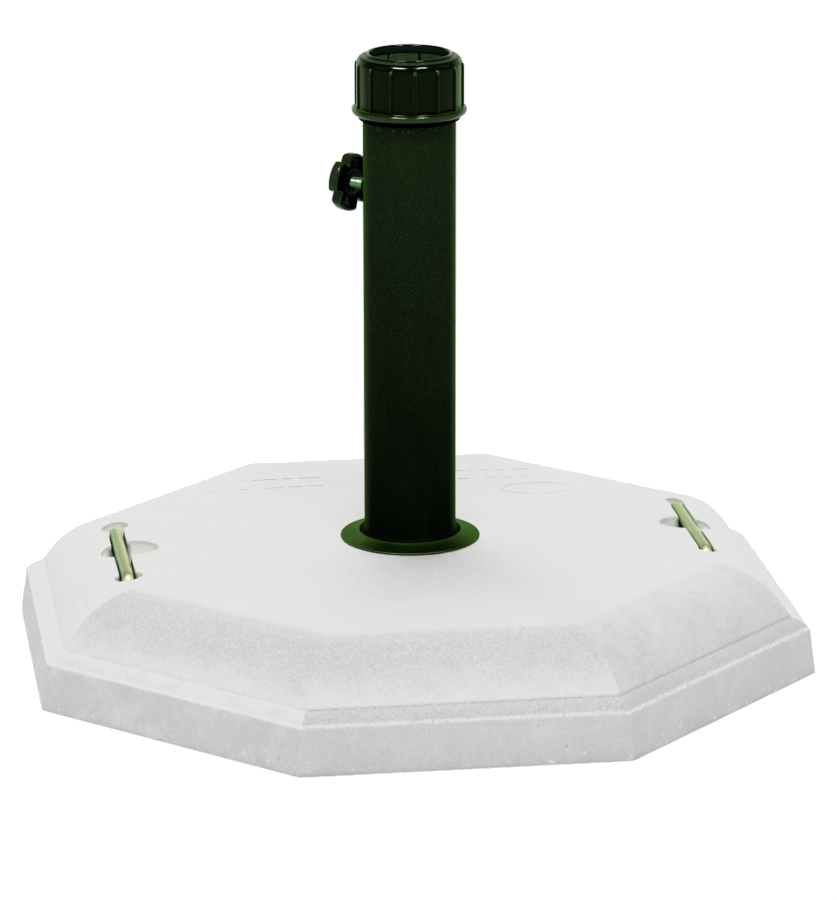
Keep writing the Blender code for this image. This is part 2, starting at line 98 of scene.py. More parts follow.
# plain marks cast into the top: (first x, y, bar widths, gaps)
MARK_WIDTH = 0.0011
MARK_RISE = 0.00050
MARK_ROWS = (
    (-0.124, 0.148, (0.011, 0.003, 0.003, 0.016, 0.006, 0.014), (0.004, 0.011, 0.004, 0.004, 0.006, 0.0)),
    (-0.122, 0.127, (0.009, 0.007, 0.011, 0.009, 0.011), (0.012, 0.013, 0.004, 0.004, 0.0)),
    (0.048, 0.150, (0.010, 0.003, 0.003, 0.004, 0.012), (0.004, 0.007, 0.007, 0.006, 0.0)),
    (0.052, 0.130, (0.007, 0.006, 0.006, 0.003), (0.012, 0.005, 0.009, 0.0)),
)
OVAL_CENTRE = (0.102, 0.101)
OVAL_SIZE = (0.050, 0.027)
OVAL_SEGMENTS = 64

# handles and their pockets
BEND_RADIUS = 0.0095
GRIP_HALF_LENGTH = 0.0550
ROD_END_EDGE = 0.0006
POCKET_HEIGHT = 0.0695
TROUGH_SIZE = (0.0054, 0.0054, 0.0120)
TROUGH_HALF_LENGTH = 0.0565
BOWL_DEPTH = 0.0120
BOWL_RADII = {"handle_left": 0.0090, "handle_right": 0.0064}
SCOOP_SHIFTS = {"handle_left": -0.0053, "handle_right": -0.0027}  # outwards, from the rod
SCOOP_HALF_SIZES = {"handle_left": (0.0190, 0.0155), "handle_right": (0.0175, 0.0135)}
SCOOP_ALONG = 0.0036
SCOOP_DEPTH = 0.0150
LIP_RADIUS = 0.0007
STAIN_SHIFT = (0.020, -0.058)  # outwards and along, from the rod's middle
STAIN_RADIUS = 0.024

# reach of a spot from the middle, used to tell the parts of the cast surface apart
POCKETS_END = 0.225
LEDGE_START = 0.2352
SHOULDER_END = 0.2359
POCKET_MARGIN = 0.0012  # how deep a spot must lie to count as inside a pocket

# screw collar
THREAD_PITCH = 0.004
THREAD_ROOT_WIDTH = 0.0019
THREAD_CREST_WIDTH = 0.0010
SLEEVE_BORE = 0.0256
SLEEVE_SPIGOT = 0.0277
FLANGE_RADIUS = 0.0306
FLANGE_THICKNESS = 0.0027
SLEEVE_CORE = 0.0296
SLEEVE_THREAD = (0.0310, 0.3645, 2.75)  # crest radius, start height and turns
FINGER_ROOT = 0.378
FINGER_TIP_RADIUS = 0.0274
FINGER_SLOTS = 8
FINGER_SLOT_WIDTH = 0.0022
WEDGE_PLAY = 0.0005
CAP_BORE = 0.0316
CAP_RADIUS = 0.0341
CAP_MOUTH = 0.0257
CAP_ROOF = 0.3917
CAP_THREAD = (0.0302, 0.3625, 2.25)
CAP_SHOULDER = 0.0068  # its height, from the top of the cap down
BEAD_HEIGHT = 0.3606
BEAD_RADIUS = 0.0020
RIB_COUNT = 14
RIB_HEIGHT = 0.0013
RIB_HALF_ANGLE = radians(1.9)
RIB_PHASE = radians(-92)
RIB_TIP = 0.3911
RIB_TIP_LENGTH = 0.0016

# side clamp: distances run outwards from the post's axis
SCREW_RADIUS = 0.00395
SCREW_PITCH = 0.00125
SCREW_THREAD_DEPTH = 0.00062
SCREW_HOLE = 0.0043
NUT_ACROSS_FLATS = 0.013
NUT_FACE = 0.0348
WELD_RADIUS = 0.0012
PAD_FACE = 0.0243
PAD_THICKNESS = 0.0025
PAD_RADIUS = 0.0045
DOG_RADIUS = 0.0025
DOG_LENGTH = 0.0016
KNOB_BACK = 0.0452
KNOB_RADIUS = 0.0189
KNOB_THICKNESS = 0.0078
KNOB_DOME = 0.0018
KNOB_NOTCHES = 4
KNOB_NOTCH_DEPTHS = (0.0056, 0.0036)  # at the back and at the front
KNOB_NOTCH_HALF_ANGLE = radians(14.5)
KNOB_TURN = radians(68.5)
KNOB_RIM_WALL = 0.0030
KNOB_HUB_RADIUS = 0.0097
KNOB_GROOVE_DEPTH = 0.0028
KNOB_SOCKET_DEPTH = 0.0064
KNOB_BACK_EDGE = 0.0012
KNOB_FRONT_EDGE = 0.0030

# post and trim ring
POST_WALL = 0.002
POST_EDGE = 0.0004
ROSETTE_HOLE = 0.0330
GAP = 0.0003
POST_ROUND = 144
TURN = 2 * pi
Z_AXIS = Vector((0, 0, 1))


# ---------------------------------------------------------------- mesh helpers
def clamp(value):
    return max(0.0, min(1.0, value))


def bell(offset, width):
    """1 where offset is 0, falling away smoothly on both sides."""
    return exp(-((offset / width) ** 2))


def even_angles(count, phase=0.0):
    return [TURN * i / count + phase for i in range(count)]


def loop(reaches, height, angles):
    """A ring about the Z axis with its own reach at each angle."""
    return [Vector((reach * cos(a), reach * sin(a), height)) for a, reach in zip(angles, reaches)]


def circle(radius, height, angles):
    return loop([radius] * len(angles), height, angles)


def circles(profile, angles):
    return [circle(radius, height, angles) for radius, height in profile]


def skin(rings, closed=False):
    """A solid from rings of points: neighbours are joined, and the two ends are joined or filled."""
    bm = bmesh.new()
    loops = [[bm.verts.new(point) for point in ring] for ring in rings]
    pairs = list(zip(loops, loops[1:]))
    if closed:
        pairs.append((loops[-1], loops[0]))
    else:
        bm.faces.new(loops[0])
        bm.faces.new(loops[-1])
    for low, high in pairs:
        for i in range(len(low)):
            j = (i + 1) % len(low)
            bm.faces.new((low[i], low[j], high[j], high[i]))
    return bm


def arc(centre, radii, start, end, steps):
    """Points (radius, height) along an ellipse, from angle start to angle end in degrees."""
    angles = [radians(start + (end - start) * i / steps) for i in range(steps + 1)]
    return [(centre[0] + radii[0] * cos(a), centre[1] + radii[1] * sin(a)) for a in angles]


def bezier(p0, p1, p2, p3, steps):
    points = []
    for i in range(steps + 1):
        t = i / steps
        weights = ((1 - t) ** 3, 3 * t * (1 - t) ** 2, 3 * t * t * (1 - t), t**3)
        points.append(tuple(sum(w * p[k] for w, p in zip(weights, (p0, p1, p2, p3))) for k in range(2)))
    return points


def line(start, end, steps):
    """Points between two profile points, without the ends."""
    return [
        (start[0] + (end[0] - start[0]) * i / steps, start[1] + (end[1] - start[1]) * i / steps)
        for i in range(1, steps)
    ]


def softened(profile, radius, closed=True, steps=4):
    """A profile of (radius, height) corners with every corner rounded off."""
    corners = [Vector(point) for point in profile]
    points = []
    for i, corner in enumerate(corners):
        if not closed and i in (0, len(corners) - 1):
            points.append(tuple(corner))
            continue
        before, after = corners[i - 1], corners[(i + 1) % len(corners)]
        reach = min(radius, 0.45 * (before - corner).length, 0.45 * (after - corner).length)
        start = corner + (before - corner).normalized() * reach
        end = corner + (after - corner).normalized() * reach
        for k in range(steps + 1):
            t = k / steps
            points.append(tuple((1 - t) ** 2 * start + 2 * t * (1 - t) * corner + t * t * end))
    return points


def turned(profile, count=POST_ROUND, closed=True):
    """Turns a profile of (radius, height) points about the Z axis."""
    return skin(circles(profile, even_angles(count)), closed)


def bent_path(corners, bend_radius, steps):
    """The centre line through corners, with each inner corner rounded to bend_radius."""
    path = [corners[0]]
    for before, corner, after in zip(corners, corners[1:], corners[2:]):
        into, out = (corner - before).normalized(), (after - corner).normalized()
        turn = into.angle(out)
        start = corner - into * bend_radius * tan(turn / 2)
        inward = (out - into * into.dot(out)).normalized()
        centre = start + inward * bend_radius
        for i in range(steps + 1):
            angle = turn * i / steps
            path.append(centre - inward * bend_radius * cos(angle) + into * bend_radius * sin(angle))
    path.append(corners[-1])
    return path


def mesh_object(name, bm, sharp=35):
    bmesh.ops.recalc_face_normals(bm, faces=bm.faces)
    mesh = bpy.data.meshes.new(name)
    bm.to_mesh(mesh)
    bm.free()
    mesh.shade_smooth()
    mesh.set_sharp_from_angle(angle=radians(sharp))
    obj = bpy.data.objects.new(name, mesh)
    bpy.context.scene.collection.objects.link(obj)
    return obj


def store(mesh, read):
    """Stores the values that read gives for each vertex, by name, for the materials."""
    rows = [read(vert) for vert in mesh.vertices]
    for name in rows[0]:
        layer = mesh.attributes.new(name, "FLOAT", "POINT")
        layer.data.foreach_set("value", [float(row[name]) for row in rows])


def cut(obj, *cutters):
    """Takes all the cutters' shapes out of obj in one go, for good, then removes them."""
    tools = bpy.data.collections.new("cutters")
    for cutter in cutters:
        tools.objects.link(cutter)
    bpy.context.view_layer.update()
    modifier = obj.modifiers.new("cut", "BOOLEAN")
    modifier.operation = "DIFFERENCE"
    modifier.solver = "EXACT"
    modifier.operand_type = "COLLECTION"
    modifier.collection = tools
    settled = obj.evaluated_get(bpy.context.evaluated_depsgraph_get())
    mesh = bpy.data.meshes.new_from_object(settled)
    obj.modifiers.clear()
    obj.data = mesh
    for cutter in cutters:
        bpy.data.objects.remove(cutter, do_unlink=True)
    bpy.data.collections.remove(tools)


def dress(obj, material):
    obj.data.materials.clear()
    obj.data.materials.append(MATERIALS[material])


def finish_piece(obj, body, slot, node=None, material=None):
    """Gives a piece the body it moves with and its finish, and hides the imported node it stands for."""
    dress(obj, material or slot)
    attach(obj, body)
    if node:
        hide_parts(node)


# ---------------------------------------------------------------- material helpers
def rgb(red, green, blue):
    return (red, green, blue, 1.0)


def grey(value):
    return rgb(value, value, value)


class Graph:
    """The node tree of a material or world, built up call by call. Lengths are in metres."""

    def __init__(self, owner):
        owner.use_nodes = True
        self.tree = owner.node_tree

    def add(self, kind, inputs=None, **settings):
        node = self.tree.nodes.new(f"ShaderNode{kind}")
        for key, value in settings.items():
            setattr(node, key, value)
        for key, value in (inputs or {}).items():
            self.plug(node.inputs[key], value)
        return node

    def plug(self, socket, value):
        if isinstance(value, bpy.types.NodeSocket):
            self.tree.links.new(value, socket)
        else:
            socket.default_value = value

    def spread(self, value, low, high, to_low=0.0, to_high=1.0, smooth=False):
        """Maps value from low..high to to_low..to_high and clamps it there."""
        inputs = {"Value": value, "From Min": low, "From Max": high, "To Min": to_low, "To Max": to_high}
        kind = "SMOOTHSTEP" if smooth else "LINEAR"
        return self.add("MapRange", inputs, interpolation_type=kind).outputs["Result"]

    def span(self, value, to_low=0.0, to_high=1.0):
        """Maps the usual span of a noise to to_low..to_high."""
        return self.spread(value, 0.3, 0.7, to_low, to_high)

    def lerp(self, share, start, end):
        return self.spread(share, 0.0, 1.0, start, end)

    def calc(self, operation, first, second=0.5):
        return self.add("Math", {0: first, 1: second}, operation=operation).outputs[0]

    def times(self, first, *others):
        for other in others:
            first = self.calc("MULTIPLY", first, other)
        return first

    def plus(self, first, second):
        return self.calc("ADD", first, second)

    def blend(self, share, first, second):
        return self.add("Mix", {0: share, 2: first, 3: second}).outputs[0]

    def z_of(self, vector):
        return self.add("SeparateXYZ", {"Vector": vector}).outputs["Z"]


class Surface(Graph):
    """A material whose colour is laid on coat by coat."""

    def __init__(self, name):
        self.material = bpy.data.materials.new(name)
        super().__init__(self.material)
        self.shader = self.tree.nodes["Principled BSDF"]
        self.place = self.add("TexCoord").outputs["Object"]
        self.colour = None

    def set(self, **values):
        """Sets the shader's own inputs, with underscores for the spaces in their names."""
        for key, value in values.items():
            self.plug(self.shader.inputs[key.replace("_", " ")], value)

    def stretched(self, *scale):
        return self.add("Mapping", {"Vector": self.place, "Scale": scale}).outputs["Vector"]

    def noise(self, size, detail=3.0, rough=0.55, place=None):
        """Soft noise from 0 to 1 whose features are about size across."""
        inputs = {"Vector": place or self.place, "Scale": 1 / size, "Detail": detail, "Roughness": rough}
        return self.add("TexNoise", inputs).outputs["Fac"]

    def patches(self, size, low, high, detail=3.0, rough=0.7):
        """Noise with only its upper part left, as patches of about size."""
        return self.spread(self.noise(size, detail, rough), low, high)

    def dots(self, spacing, low, high):
        """Scattered round dots: 1 inside low, 0 past high, both as shares of their spacing."""
        cells = self.add("TexVoronoi", {"Vector": self.place, "Scale": 1 / spacing})
        return self.spread(cells.outputs["Distance"], low, high, 1.0, 0.0)

    def attribute(self, name):
        return self.add("Attribute", attribute_name=name).outputs["Fac"]

    def height(self):
        return self.z_of(self.place)

    def upness(self):
        """1 where the surface faces up, -1 where it faces down."""
        return self.z_of(self.add("NewGeometry").outputs["Normal"])

    def mix(self, share, first, second, kind="MIX"):
        inputs = {"Fac": share, "Color1": first, "Color2": second}
        return self.add("MixRGB", inputs, blend_type=kind).outputs["Color"]

    def start(self, share, first, second):
        self.colour = self.mix(share, first, second)

    def coat(self, share, colour):
        """Lays another colour over the one so far."""
        self.colour = self.mix(share, self.colour, colour)

    def shade(self, colour):
        """Multiplies the colour so far."""
        self.colour = self.mix(1.0, self.colour, colour, "MULTIPLY")

    def ramp(self, value, stops):
        """A grey that runs through (position, brightness) stops."""
        node = self.add("ValToRGB", {"Fac": value})
        elements = node.color_ramp.elements
        while len(elements) < len(stops):
            elements.new(0.5)
        for element, (position, brightness) in zip(elements, stops):
            element.position = position
            element.color = grey(brightness)
        return node.outputs["Color"]

    def limb(self, low, high):
        """0 where the surface faces the viewer, rising to 1 between two glancing shares."""
        return self.spread(self.add("LayerWeight", {"Blend": 0.5}).outputs["Facing"], low, high)

    def side_limb(self, low, high):
        """Like limb, for upright surfaces only, and the same however high the viewer is."""
        geometry = self.add("NewGeometry").outputs
        level = self.add("VectorMath", {0: geometry["Incoming"], 1: (1, 1, 0)}, operation="MULTIPLY")
        toward = self.add("VectorMath", {0: level.outputs[0]}, operation="NORMALIZE")
        dot = self.add("VectorMath", {0: toward.outputs[0], 1: geometry["Normal"]}, operation="DOT_PRODUCT")
        limb = self.spread(self.calc("SUBTRACT", 1.0, dot.outputs["Value"]), low, high)
        return self.times(limb, self.spread(self.z_of(geometry["Normal"]), 0.10, 0.45, 1.0, 0.0))

    def bump(self, height, depth, below=None):
        inputs = {"Height": height, "Distance": depth}
        if below:
            inputs["Normal"] = below
        return self.add("Bump", inputs).outputs["Normal"]


# ---------------------------------------------------------------- materials
# brightness up the front shoulder, from foot to top: painted shade, darkest midway and paler along the foot
SHOULDER_SHADE_BAND = ((0.0, 1.12), (0.14, 1.10), (0.34, 0.90), (0.60, 0.71), (0.85, 0.64), (1.0, 0.69))


def concrete():
    """Pale cast concrete: smooth on top and sandy on the slopes at the front. Shade is painted on the front
    slopes in bands, paler along their foot, and the post's shadow is painted on the top in front of it.
    """
    g = Surface("concrete")
    front, left, right = g.attribute("front"), g.attribute("front_left"), g.attribute("front_right")
    rim, post_shadow_grit, height = g.attribute("rim"), g.attribute("post_shadow_grit"), g.height()
    level = g.spread(g.upness(), 0.980, 0.9997, smooth=True)
    patch = g.noise(0.016, 5.0, 0.75)
    sand = g.noise(0.0012, 3.0, 0.85)
    coarse = g.noise(0.0030, 3.0, 0.75)

    # tones: painted shade in bands up the front shoulder, paler along its foot, with its own shade on the left
    # and right front facets; the front rim and ledges painted darker as shade, the left front ledge painted
    # lighter; a pale top with the post's shadow painted on it
    wavy_height = g.plus(height, g.times(g.plus(patch, -0.5), 0.016))
    band = g.ramp(g.spread(wavy_height, 0.036, 0.072), SHOULDER_SHADE_BAND)
    # the left and right front facets get their own painted shade
    band = g.mix(g.times(left, 0.12), band, grey(0.40))
    band = g.mix(g.times(right, 0.85), band, g.mix(g.spread(patch, 0.35, 0.65), grey(0.69), grey(0.82)))
    plain = g.mix(rim, grey(0.92), g.mix(front, grey(0.83), grey(0.79)))
    tone = g.mix(g.times(g.attribute("shoulder"), front), plain, band)
    # ledges: the front one painted dark as shade, the left front one painted lighter in patches as light, the
    # back ones a little darker
    lit_ledge_patches = g.mix(g.spread(patch, 0.40, 0.60), grey(0.82), grey(0.98))
    ledge = g.mix(left, g.mix(front, grey(0.90), grey(0.61)), lit_ledge_patches)
    low_back = g.times(g.attribute("back"), g.spread(height, 0.062, 0.050))
    tone = g.mix(g.attribute("ledge"), tone, g.mix(low_back, ledge, grey(0.80)))
    # on top: an even pale tone, with the post's shadow painted darker in front of it
    tone = g.mix(level, tone, g.mix(post_shadow_grit, grey(0.85), grey(0.77)))
    g.colour = grey(0.84)
    g.shade(tone)
    g.shade(g.mix(g.spread(g.noise(0.060, 4.0, 0.6), 0.35, 0.65), grey(0.95), grey(1.0)))

    # grain: strongest on the front slopes, where the shade is painted, and faint on top apart from the post's
    # painted shadow in front of it
    grainy = g.plus(g.times(front, g.lerp(rim, 0.80, 0.34)), 0.12)
    grainy = g.times(grainy, g.lerp(right, 1.0, 0.62))
    grain = g.plus(g.times(g.spread(sand, 0.25, 0.75), 0.75), g.times(g.span(coarse), 0.25))
    dark_grain = g.mix(1.0, g.colour, grey(0.64), "MULTIPLY")
    grain_colour = g.mix(grain, dark_grain, g.mix(0.75, g.colour, grey(0.98)))
    g.coat(g.times(grainy, g.blend(level, 0.66, g.plus(g.times(post_shadow_grit, 0.45), 0.14))), grain_colour)

    # pale patches on the rim, pale specks, a pale line along the rim's top edge and splashes along the foot
    paler = g.times(rim, front, g.patches(0.026, 0.48, 0.66, 5.0, 0.65))
    g.coat(g.times(paler, g.lerp(left, 0.12, 0.28)), grey(0.95))
    speck = g.times(g.dots(0.0042, 0.10, 0.16), g.patches(0.02, 0.42, 0.60), grainy, g.lerp(right, 1.0, 0.35))
    g.coat(g.times(speck, 0.85), grey(0.99))
    g.coat(g.times(g.attribute("wear_and_glint"), g.patches(0.0022, 0.36, 0.60, 4.0, 0.8), 0.85), grey(0.98))
    splash = g.times(g.spread(height, 0.004, 0.013, 1.0, 0.0), g.patches(0.005, 0.60, 0.66, 4.0))
    g.coat(g.times(splash, 0.7), grey(0.98))

    # pockets painted paler to lift their shade, the gaps beside the rods painted dark green as shade, stains
    # beside a handle, and casting pits
    g.coat(g.times(g.attribute("pocket"), 0.9), rgb(0.92, 0.895, 0.905))
    g.coat(g.times(g.attribute("crevice_shade"), 0.90), rgb(0.085, 0.150, 0.070))
    stained = g.times(g.dots(0.0028, 0.20, 0.30), g.patches(0.006, 0.50, 0.56))
    g.coat(g.times(stained, g.spread(g.attribute("stain"), 0.10, 0.50), 0.75), grey(0.24))
    pit = g.times(g.dots(0.013, 0.035, 0.06), g.patches(0.03, 0.50, 0.56, 2.0, 0.55))
    g.coat(g.times(pit, 0.5), grey(0.40))

    relief = g.times(g.plus(g.times(sand, 0.8), g.times(coarse, 0.5)), g.lerp(level, 1.0, 0.30))
    relief = g.calc("SUBTRACT", g.plus(relief, g.times(speck, 0.2)), g.times(pit, 1.2))
    rough = g.span(sand, 0.80, 0.95)
    g.set(Base_Color=g.colour, Normal=g.bump(relief, 0.00042), Roughness=rough, Specular_IOR_Level=0.2)
    return g.material


def post_paint():
    """Satin powder coat: very dark green with fine specks, chipped at the cap. Shade is painted low on the
    post, lighter towards the top, and a greener glancing reflection is painted on its sides.
    """
    g = Surface("post_paint")
    height = g.height()
    speck = g.noise(0.0010, 2.0, 0.85)
    cloud = g.noise(0.02, 4.0, 0.6, g.stretched(1.0, 1.0, 0.35))
    # painted shade: darker low on the post, lighter towards the top
    rise = g.spread(height, 0.08, 0.34)
    g.start(rise, rgb(0.0086, 0.0126, 0.0086), rgb(0.0275, 0.0420, 0.0215))
    g.coat(g.span(cloud, 0.0, 0.30), rgb(0.034, 0.050, 0.028))
    g.coat(g.times(g.spread(speck, 0.50, 0.72), g.lerp(rise, 0.10, 0.42)), rgb(0.080, 0.112, 0.062))
    g.coat(g.spread(speck, 0.46, 0.30, 0.0, 0.4), rgb(0.006, 0.010, 0.005))
    dust = g.times(g.dots(0.006, 0.035, 0.06), g.patches(0.05, 0.50, 0.62, 2.0, 0.55))
    g.coat(g.times(dust, 0.25), rgb(0.10, 0.12, 0.09))
    under_cap = g.times(g.spread(height, 0.3500, 0.3512), g.spread(height, 0.3534, 0.3540, 1.0, 0.0))
    g.coat(g.times(under_cap, g.patches(0.0018, 0.60, 0.66, 4.0, 0.8), 0.8), rgb(0.20, 0.25, 0.18))
    # a greener glancing reflection painted on the post's sides
    g.coat(g.side_limb(0.49, 0.92), rgb(0.070, 0.125, 0.014))
    normal = g.bump(speck, 0.00004, g.bump(g.noise(0.0012, 2.0, 0.5), 0.00005))
    g.set(Base_Color=g.colour, Normal=normal, Roughness=0.5, Specular_IOR_Level=0.01)
    return g.material


def ring_paint():
    """Satin green paint with a metallic sheen, with the post's shade painted darker on its front, and paler
    edges that are partly wear and partly painted highlight.
    """
    g = Surface("ring_paint")
    cloud = g.noise(0.012, 4.0, 0.6)
    g.start(g.span(cloud), rgb(0.105, 0.175, 0.062), rgb(0.150, 0.225, 0.092))
    # painted shade on the ring's front
    g.coat(g.times(g.attribute("shaded"), 0.86), rgb(0.014, 0.025, 0.009))
    g.coat(g.spread(g.noise(0.0010, 2.0, 0.8), 0.35, 0.65, 0.55, 0.0), rgb(0.026, 0.046, 0.016))
    g.coat(g.times(g.attribute("wear_and_glint"), 0.22), rgb(0.22, 0.34, 0.14))
    normal = g.bump(g.noise(0.0015, 3.0, 0.6), 0.00008)
    g.set(Base_Color=g.colour, Normal=normal, Roughness=g.span(cloud, 0.42, 0.52), Metallic=0.65)
    g.set(Specular_IOR_Level=0.1, Specular_Tint=rgb(0.45, 1.0, 0.30))
    return g.material


def moulded_plastic(name, dark, light, limb, roughness, shine, fine=0.00003):
    """Moulded plastic with faint flow marks and scratches, a glancing reflection painted lighter at its edges,
    and painted shade that darkens it and takes its shine.
    """
    g = Surface(name)
    cloud = g.noise(0.010, 4.0, 0.6)
    flow = g.noise(0.004, 3.0, 0.6, g.stretched(1.0, 1.0, 3.5))
    scratch = g.spread(g.noise(0.0025, 2.0, 0.5, g.stretched(0.12, 1.0, 1.0)), 0.66, 0.70)
    shaded = g.attribute("shaded")
    g.start(g.span(cloud), dark, light)
    g.coat(g.spread(flow, 0.45, 0.75, 0.0, 0.35), rgb(*(1.6 * part for part in light[:3])))
    # a glancing reflection painted lighter where the surface turns from the viewer
    g.coat(g.limb(0.42, 0.92), limb)
    # painted shade: darker, and without shine
    g.coat(g.times(shaded, 0.85), rgb(0.002, 0.003, 0.002))
    g.coat(g.attribute("hub"), rgb(0.020, 0.027, 0.009))
    # painted light on the cap's inner wall, lifting its shade
    g.coat(g.attribute("throat"), rgb(0.046, 0.060, 0.046))
    # painted light on the knob's outer sides
    g.coat(g.attribute("grip"), rgb(0.038, 0.063, 0.029))
    # painted highlights on the cap's rib tips and bead crest and along the back edge of the knob's lobes
    g.coat(g.times(g.attribute("wear_and_glint"), 0.5), rgb(0.17, 0.24, 0.14))
    normal = g.bump(g.plus(flow, g.times(scratch, 0.4)), fine)
    rough = g.plus(g.span(cloud, roughness * 0.8, roughness * 1.25), g.times(scratch, 0.08))
    g.set(Base_Color=g.colour, Normal=normal, Roughness=rough)
    g.set(Specular_IOR_Level=g.lerp(shaded, shine, 0.0), Specular_Tint=rgb(0.80, 1.0, 0.70))
    return g.material


def seal_rubber():
    """Matt black rubber with a fine grain."""
    g = Surface("seal_rubber")
    grain = g.noise(0.0007, 3.0, 0.7)
    g.start(g.span(grain), rgb(0.008, 0.009, 0.008), rgb(0.02, 0.022, 0.02))
    g.set(Base_Color=g.colour, Roughness=g.span(grain, 0.6, 0.8), Normal=g.bump(grain, 0.00004))
    return g.material


def zinc(name, base, green, cream, pink, stretch, metallic, roughness=0.36):
    """Zinc plate with a yellow-green passivation, drawn lengthwise. Its green is laid on the flanks as painted
    shade and its cream on top as painted light, with a painted glint at the end and painted shade underneath.
    """
    g = Surface(name)
    drawn = g.noise(0.0010, 3.0, 0.6, g.stretched(*stretch))
    bright = g.attribute("bright")
    # flank: where the passivation's green is laid as painted shade, the rest cream as painted light
    flank = g.plus(g.attribute("flank"), g.times(g.plus(g.noise(0.009, 3.0, 0.6), -0.5), 0.3))
    g.start(g.spread(flank, 0.25, 0.85, smooth=True), cream, green)
    g.coat(g.times(g.patches(0.004, 0.50, 0.60), g.attribute("blush"), 0.75), pink)
    g.coat(g.spread(drawn, 0.45, 0.75, 0.0, 0.35), base)
    # a painted glint at the rod's near end
    g.coat(bright, rgb(0.58, 0.66, 0.52))
    # painted shade on faces turned down
    g.coat(g.spread(g.upness(), 0.05, -0.55, 0.0, 0.9), rgb(0.04, 0.09, 0.04))
    rough = g.plus(g.span(drawn, roughness * 0.75, roughness * 1.25), g.times(bright, 0.30))
    g.set(Base_Color=g.colour, Metallic=g.lerp(bright, metallic, 0.0), Roughness=rough)
    g.set(Normal=g.bump(drawn, 0.00003), Specular_IOR_Level=0.1)
    return g.material


def bare_steel():
    """Plain mill steel with scale and patches of rust."""
    g = Surface("bare_steel")
    scale = g.noise(0.003, 4.0, 0.7)
    rust = g.patches(0.008, 0.52, 0.66, 4.0)
    g.start(g.span(scale), rgb(0.22, 0.21, 0.20), rgb(0.40, 0.39, 0.37))
    g.coat(g.times(rust, 0.7), rgb(0.16, 0.075, 0.035))
    g.set(Base_Color=g.colour, Metallic=g.lerp(rust, 0.9, 0.2), Roughness=g.lerp(rust, 0.42, 0.85))
    g.set(Normal=g.bump(scale, 0.00012))
    return g.material


# limb: the colour of the glancing reflection painted at the edges
PLASTICS = {
    "green_plastic": {
        "dark": rgb(0.0065, 0.0120, 0.0042),
        "light": rgb(0.0100, 0.0175, 0.0062),
        "limb": rgb(0.105, 0.210, 0.050),
        "roughness": 0.15,
        "shine": 0.20,
    },
    "sleeve_plastic": {
        "dark": rgb(0.065, 0.105, 0.050),
        "light": rgb(0.125, 0.185, 0.105),
        "limb": rgb(0.17, 0.24, 0.15),
        "roughness": 0.22,
        "shine": 0.55,
        "fine": 0.00005,
    },
}
# green: the flanks' painted shade; cream: the top's painted light
ZINCS = {
    "zinc_rod": {
        "base": rgb(0.84, 0.88, 0.64),
        "green": rgb(0.33, 0.54, 0.24),
        "cream": rgb(0.74, 0.80, 0.45),
        "pink": rgb(0.84, 0.56, 0.50),
        "stretch": (1.0, 0.06, 1.0),
        "metallic": 0.80,
    },
    "zinc_screw": {
        "base": rgb(0.52, 0.68, 0.48),
        "green": rgb(0.28, 0.47, 0.25),
        "cream": rgb(0.44, 0.62, 0.40),
        "pink": rgb(0.66, 0.62, 0.50),
        "stretch": (1.0, 1.0, 0.4),
        "metallic": 0.85,
    },
}
MATERIALS = {build.__name__: build() for build in (concrete, post_paint, ring_paint, seal_rubber, bare_steel)}
MATERIALS |= {name: moulded_plastic(name, **look) for name, look in PLASTICS.items()}
MATERIALS |= {name: zinc(name, **look) for name, look in ZINCS.items()}


# ---------------------------------------------------------------- plinth
def plinth_profile():
    """(half width, height) from the foot, over the rim, ledge and shoulder, to the crown."""
    ledge_foot = (RIM_HALF_WIDTH - LEDGE_WIDTH, RIM_HEIGHT + LEDGE_RISE)
    rim_edge = (RIM_HALF_WIDTH, RIM_HEIGHT)
    foot = arc((FOOT_HALF_WIDTH - FOOT_EDGE, FOOT_EDGE), (FOOT_EDGE, FOOT_EDGE), 270, 360, 4)
    handles = [(RIM_HALF_WIDTH - inwards, RIM_HEIGHT + up) for inwards, up in LEDGE_HANDLES]
    ledge = bezier(rim_edge, *handles, ledge_foot, 16)
    wall = line(foot[-1], rim_edge, 16)
    edge = softened([wall[-1], rim_edge, ledge[1]], 0.0006, closed=False)
    lean = (ledge_foot[0] - SHOULDER_LEAN[0], ledge_foot[1] + SHOULDER_LEAN[1])
    level = (TOP_HALF_WIDTH + SHOULDER_TOP_HANDLE, TOP_HEIGHT)
    shoulder = bezier(ledge_foot, lean, level, (TOP_HALF_WIDTH, TOP_HEIGHT), 26)
    crown = (CROWN_HALF_WIDTH, CROWN_HEIGHT)
    return foot + wall + edge[1:-1] + ledge[1:] + shoulder[1:] + line(shoulder[-1], crown, 16) + [crown]


PLINTH_PROFILE = plinth_profile()


def top_height(half_width):
    """The height of the plinth's upper surface at a half width."""
    for outer, inner in zip(PLINTH_PROFILE[-1:0:-1], PLINTH_PROFILE[-2::-1]):
        if outer[0] <= half_width <= inner[0] and inner[0] > outer[0]:
            share = (half_width - outer[0]) / (inner[0] - outer[0])
            return outer[1] + share * (inner[1] - outer[1])
    return CROWN_HEIGHT


def side_reach(point):
    """Distances of a point along the two nearest sides' outward directions, largest first."""
    reach = sorted((point.x * cos(a) + point.y * sin(a) for a in even_angles(SIDES)), reverse=True)
    return reach[0], reach[1]


def surface_height(point):
    return top_height(side_reach(point)[0])


def nearest_side(point):
    """The outward direction of the side a point lies nearest to."""
    angle = round(atan2(point.y, point.x) * SIDES / TURN) * TURN / SIDES
    return Vector((cos(angle), sin(angle), 0))


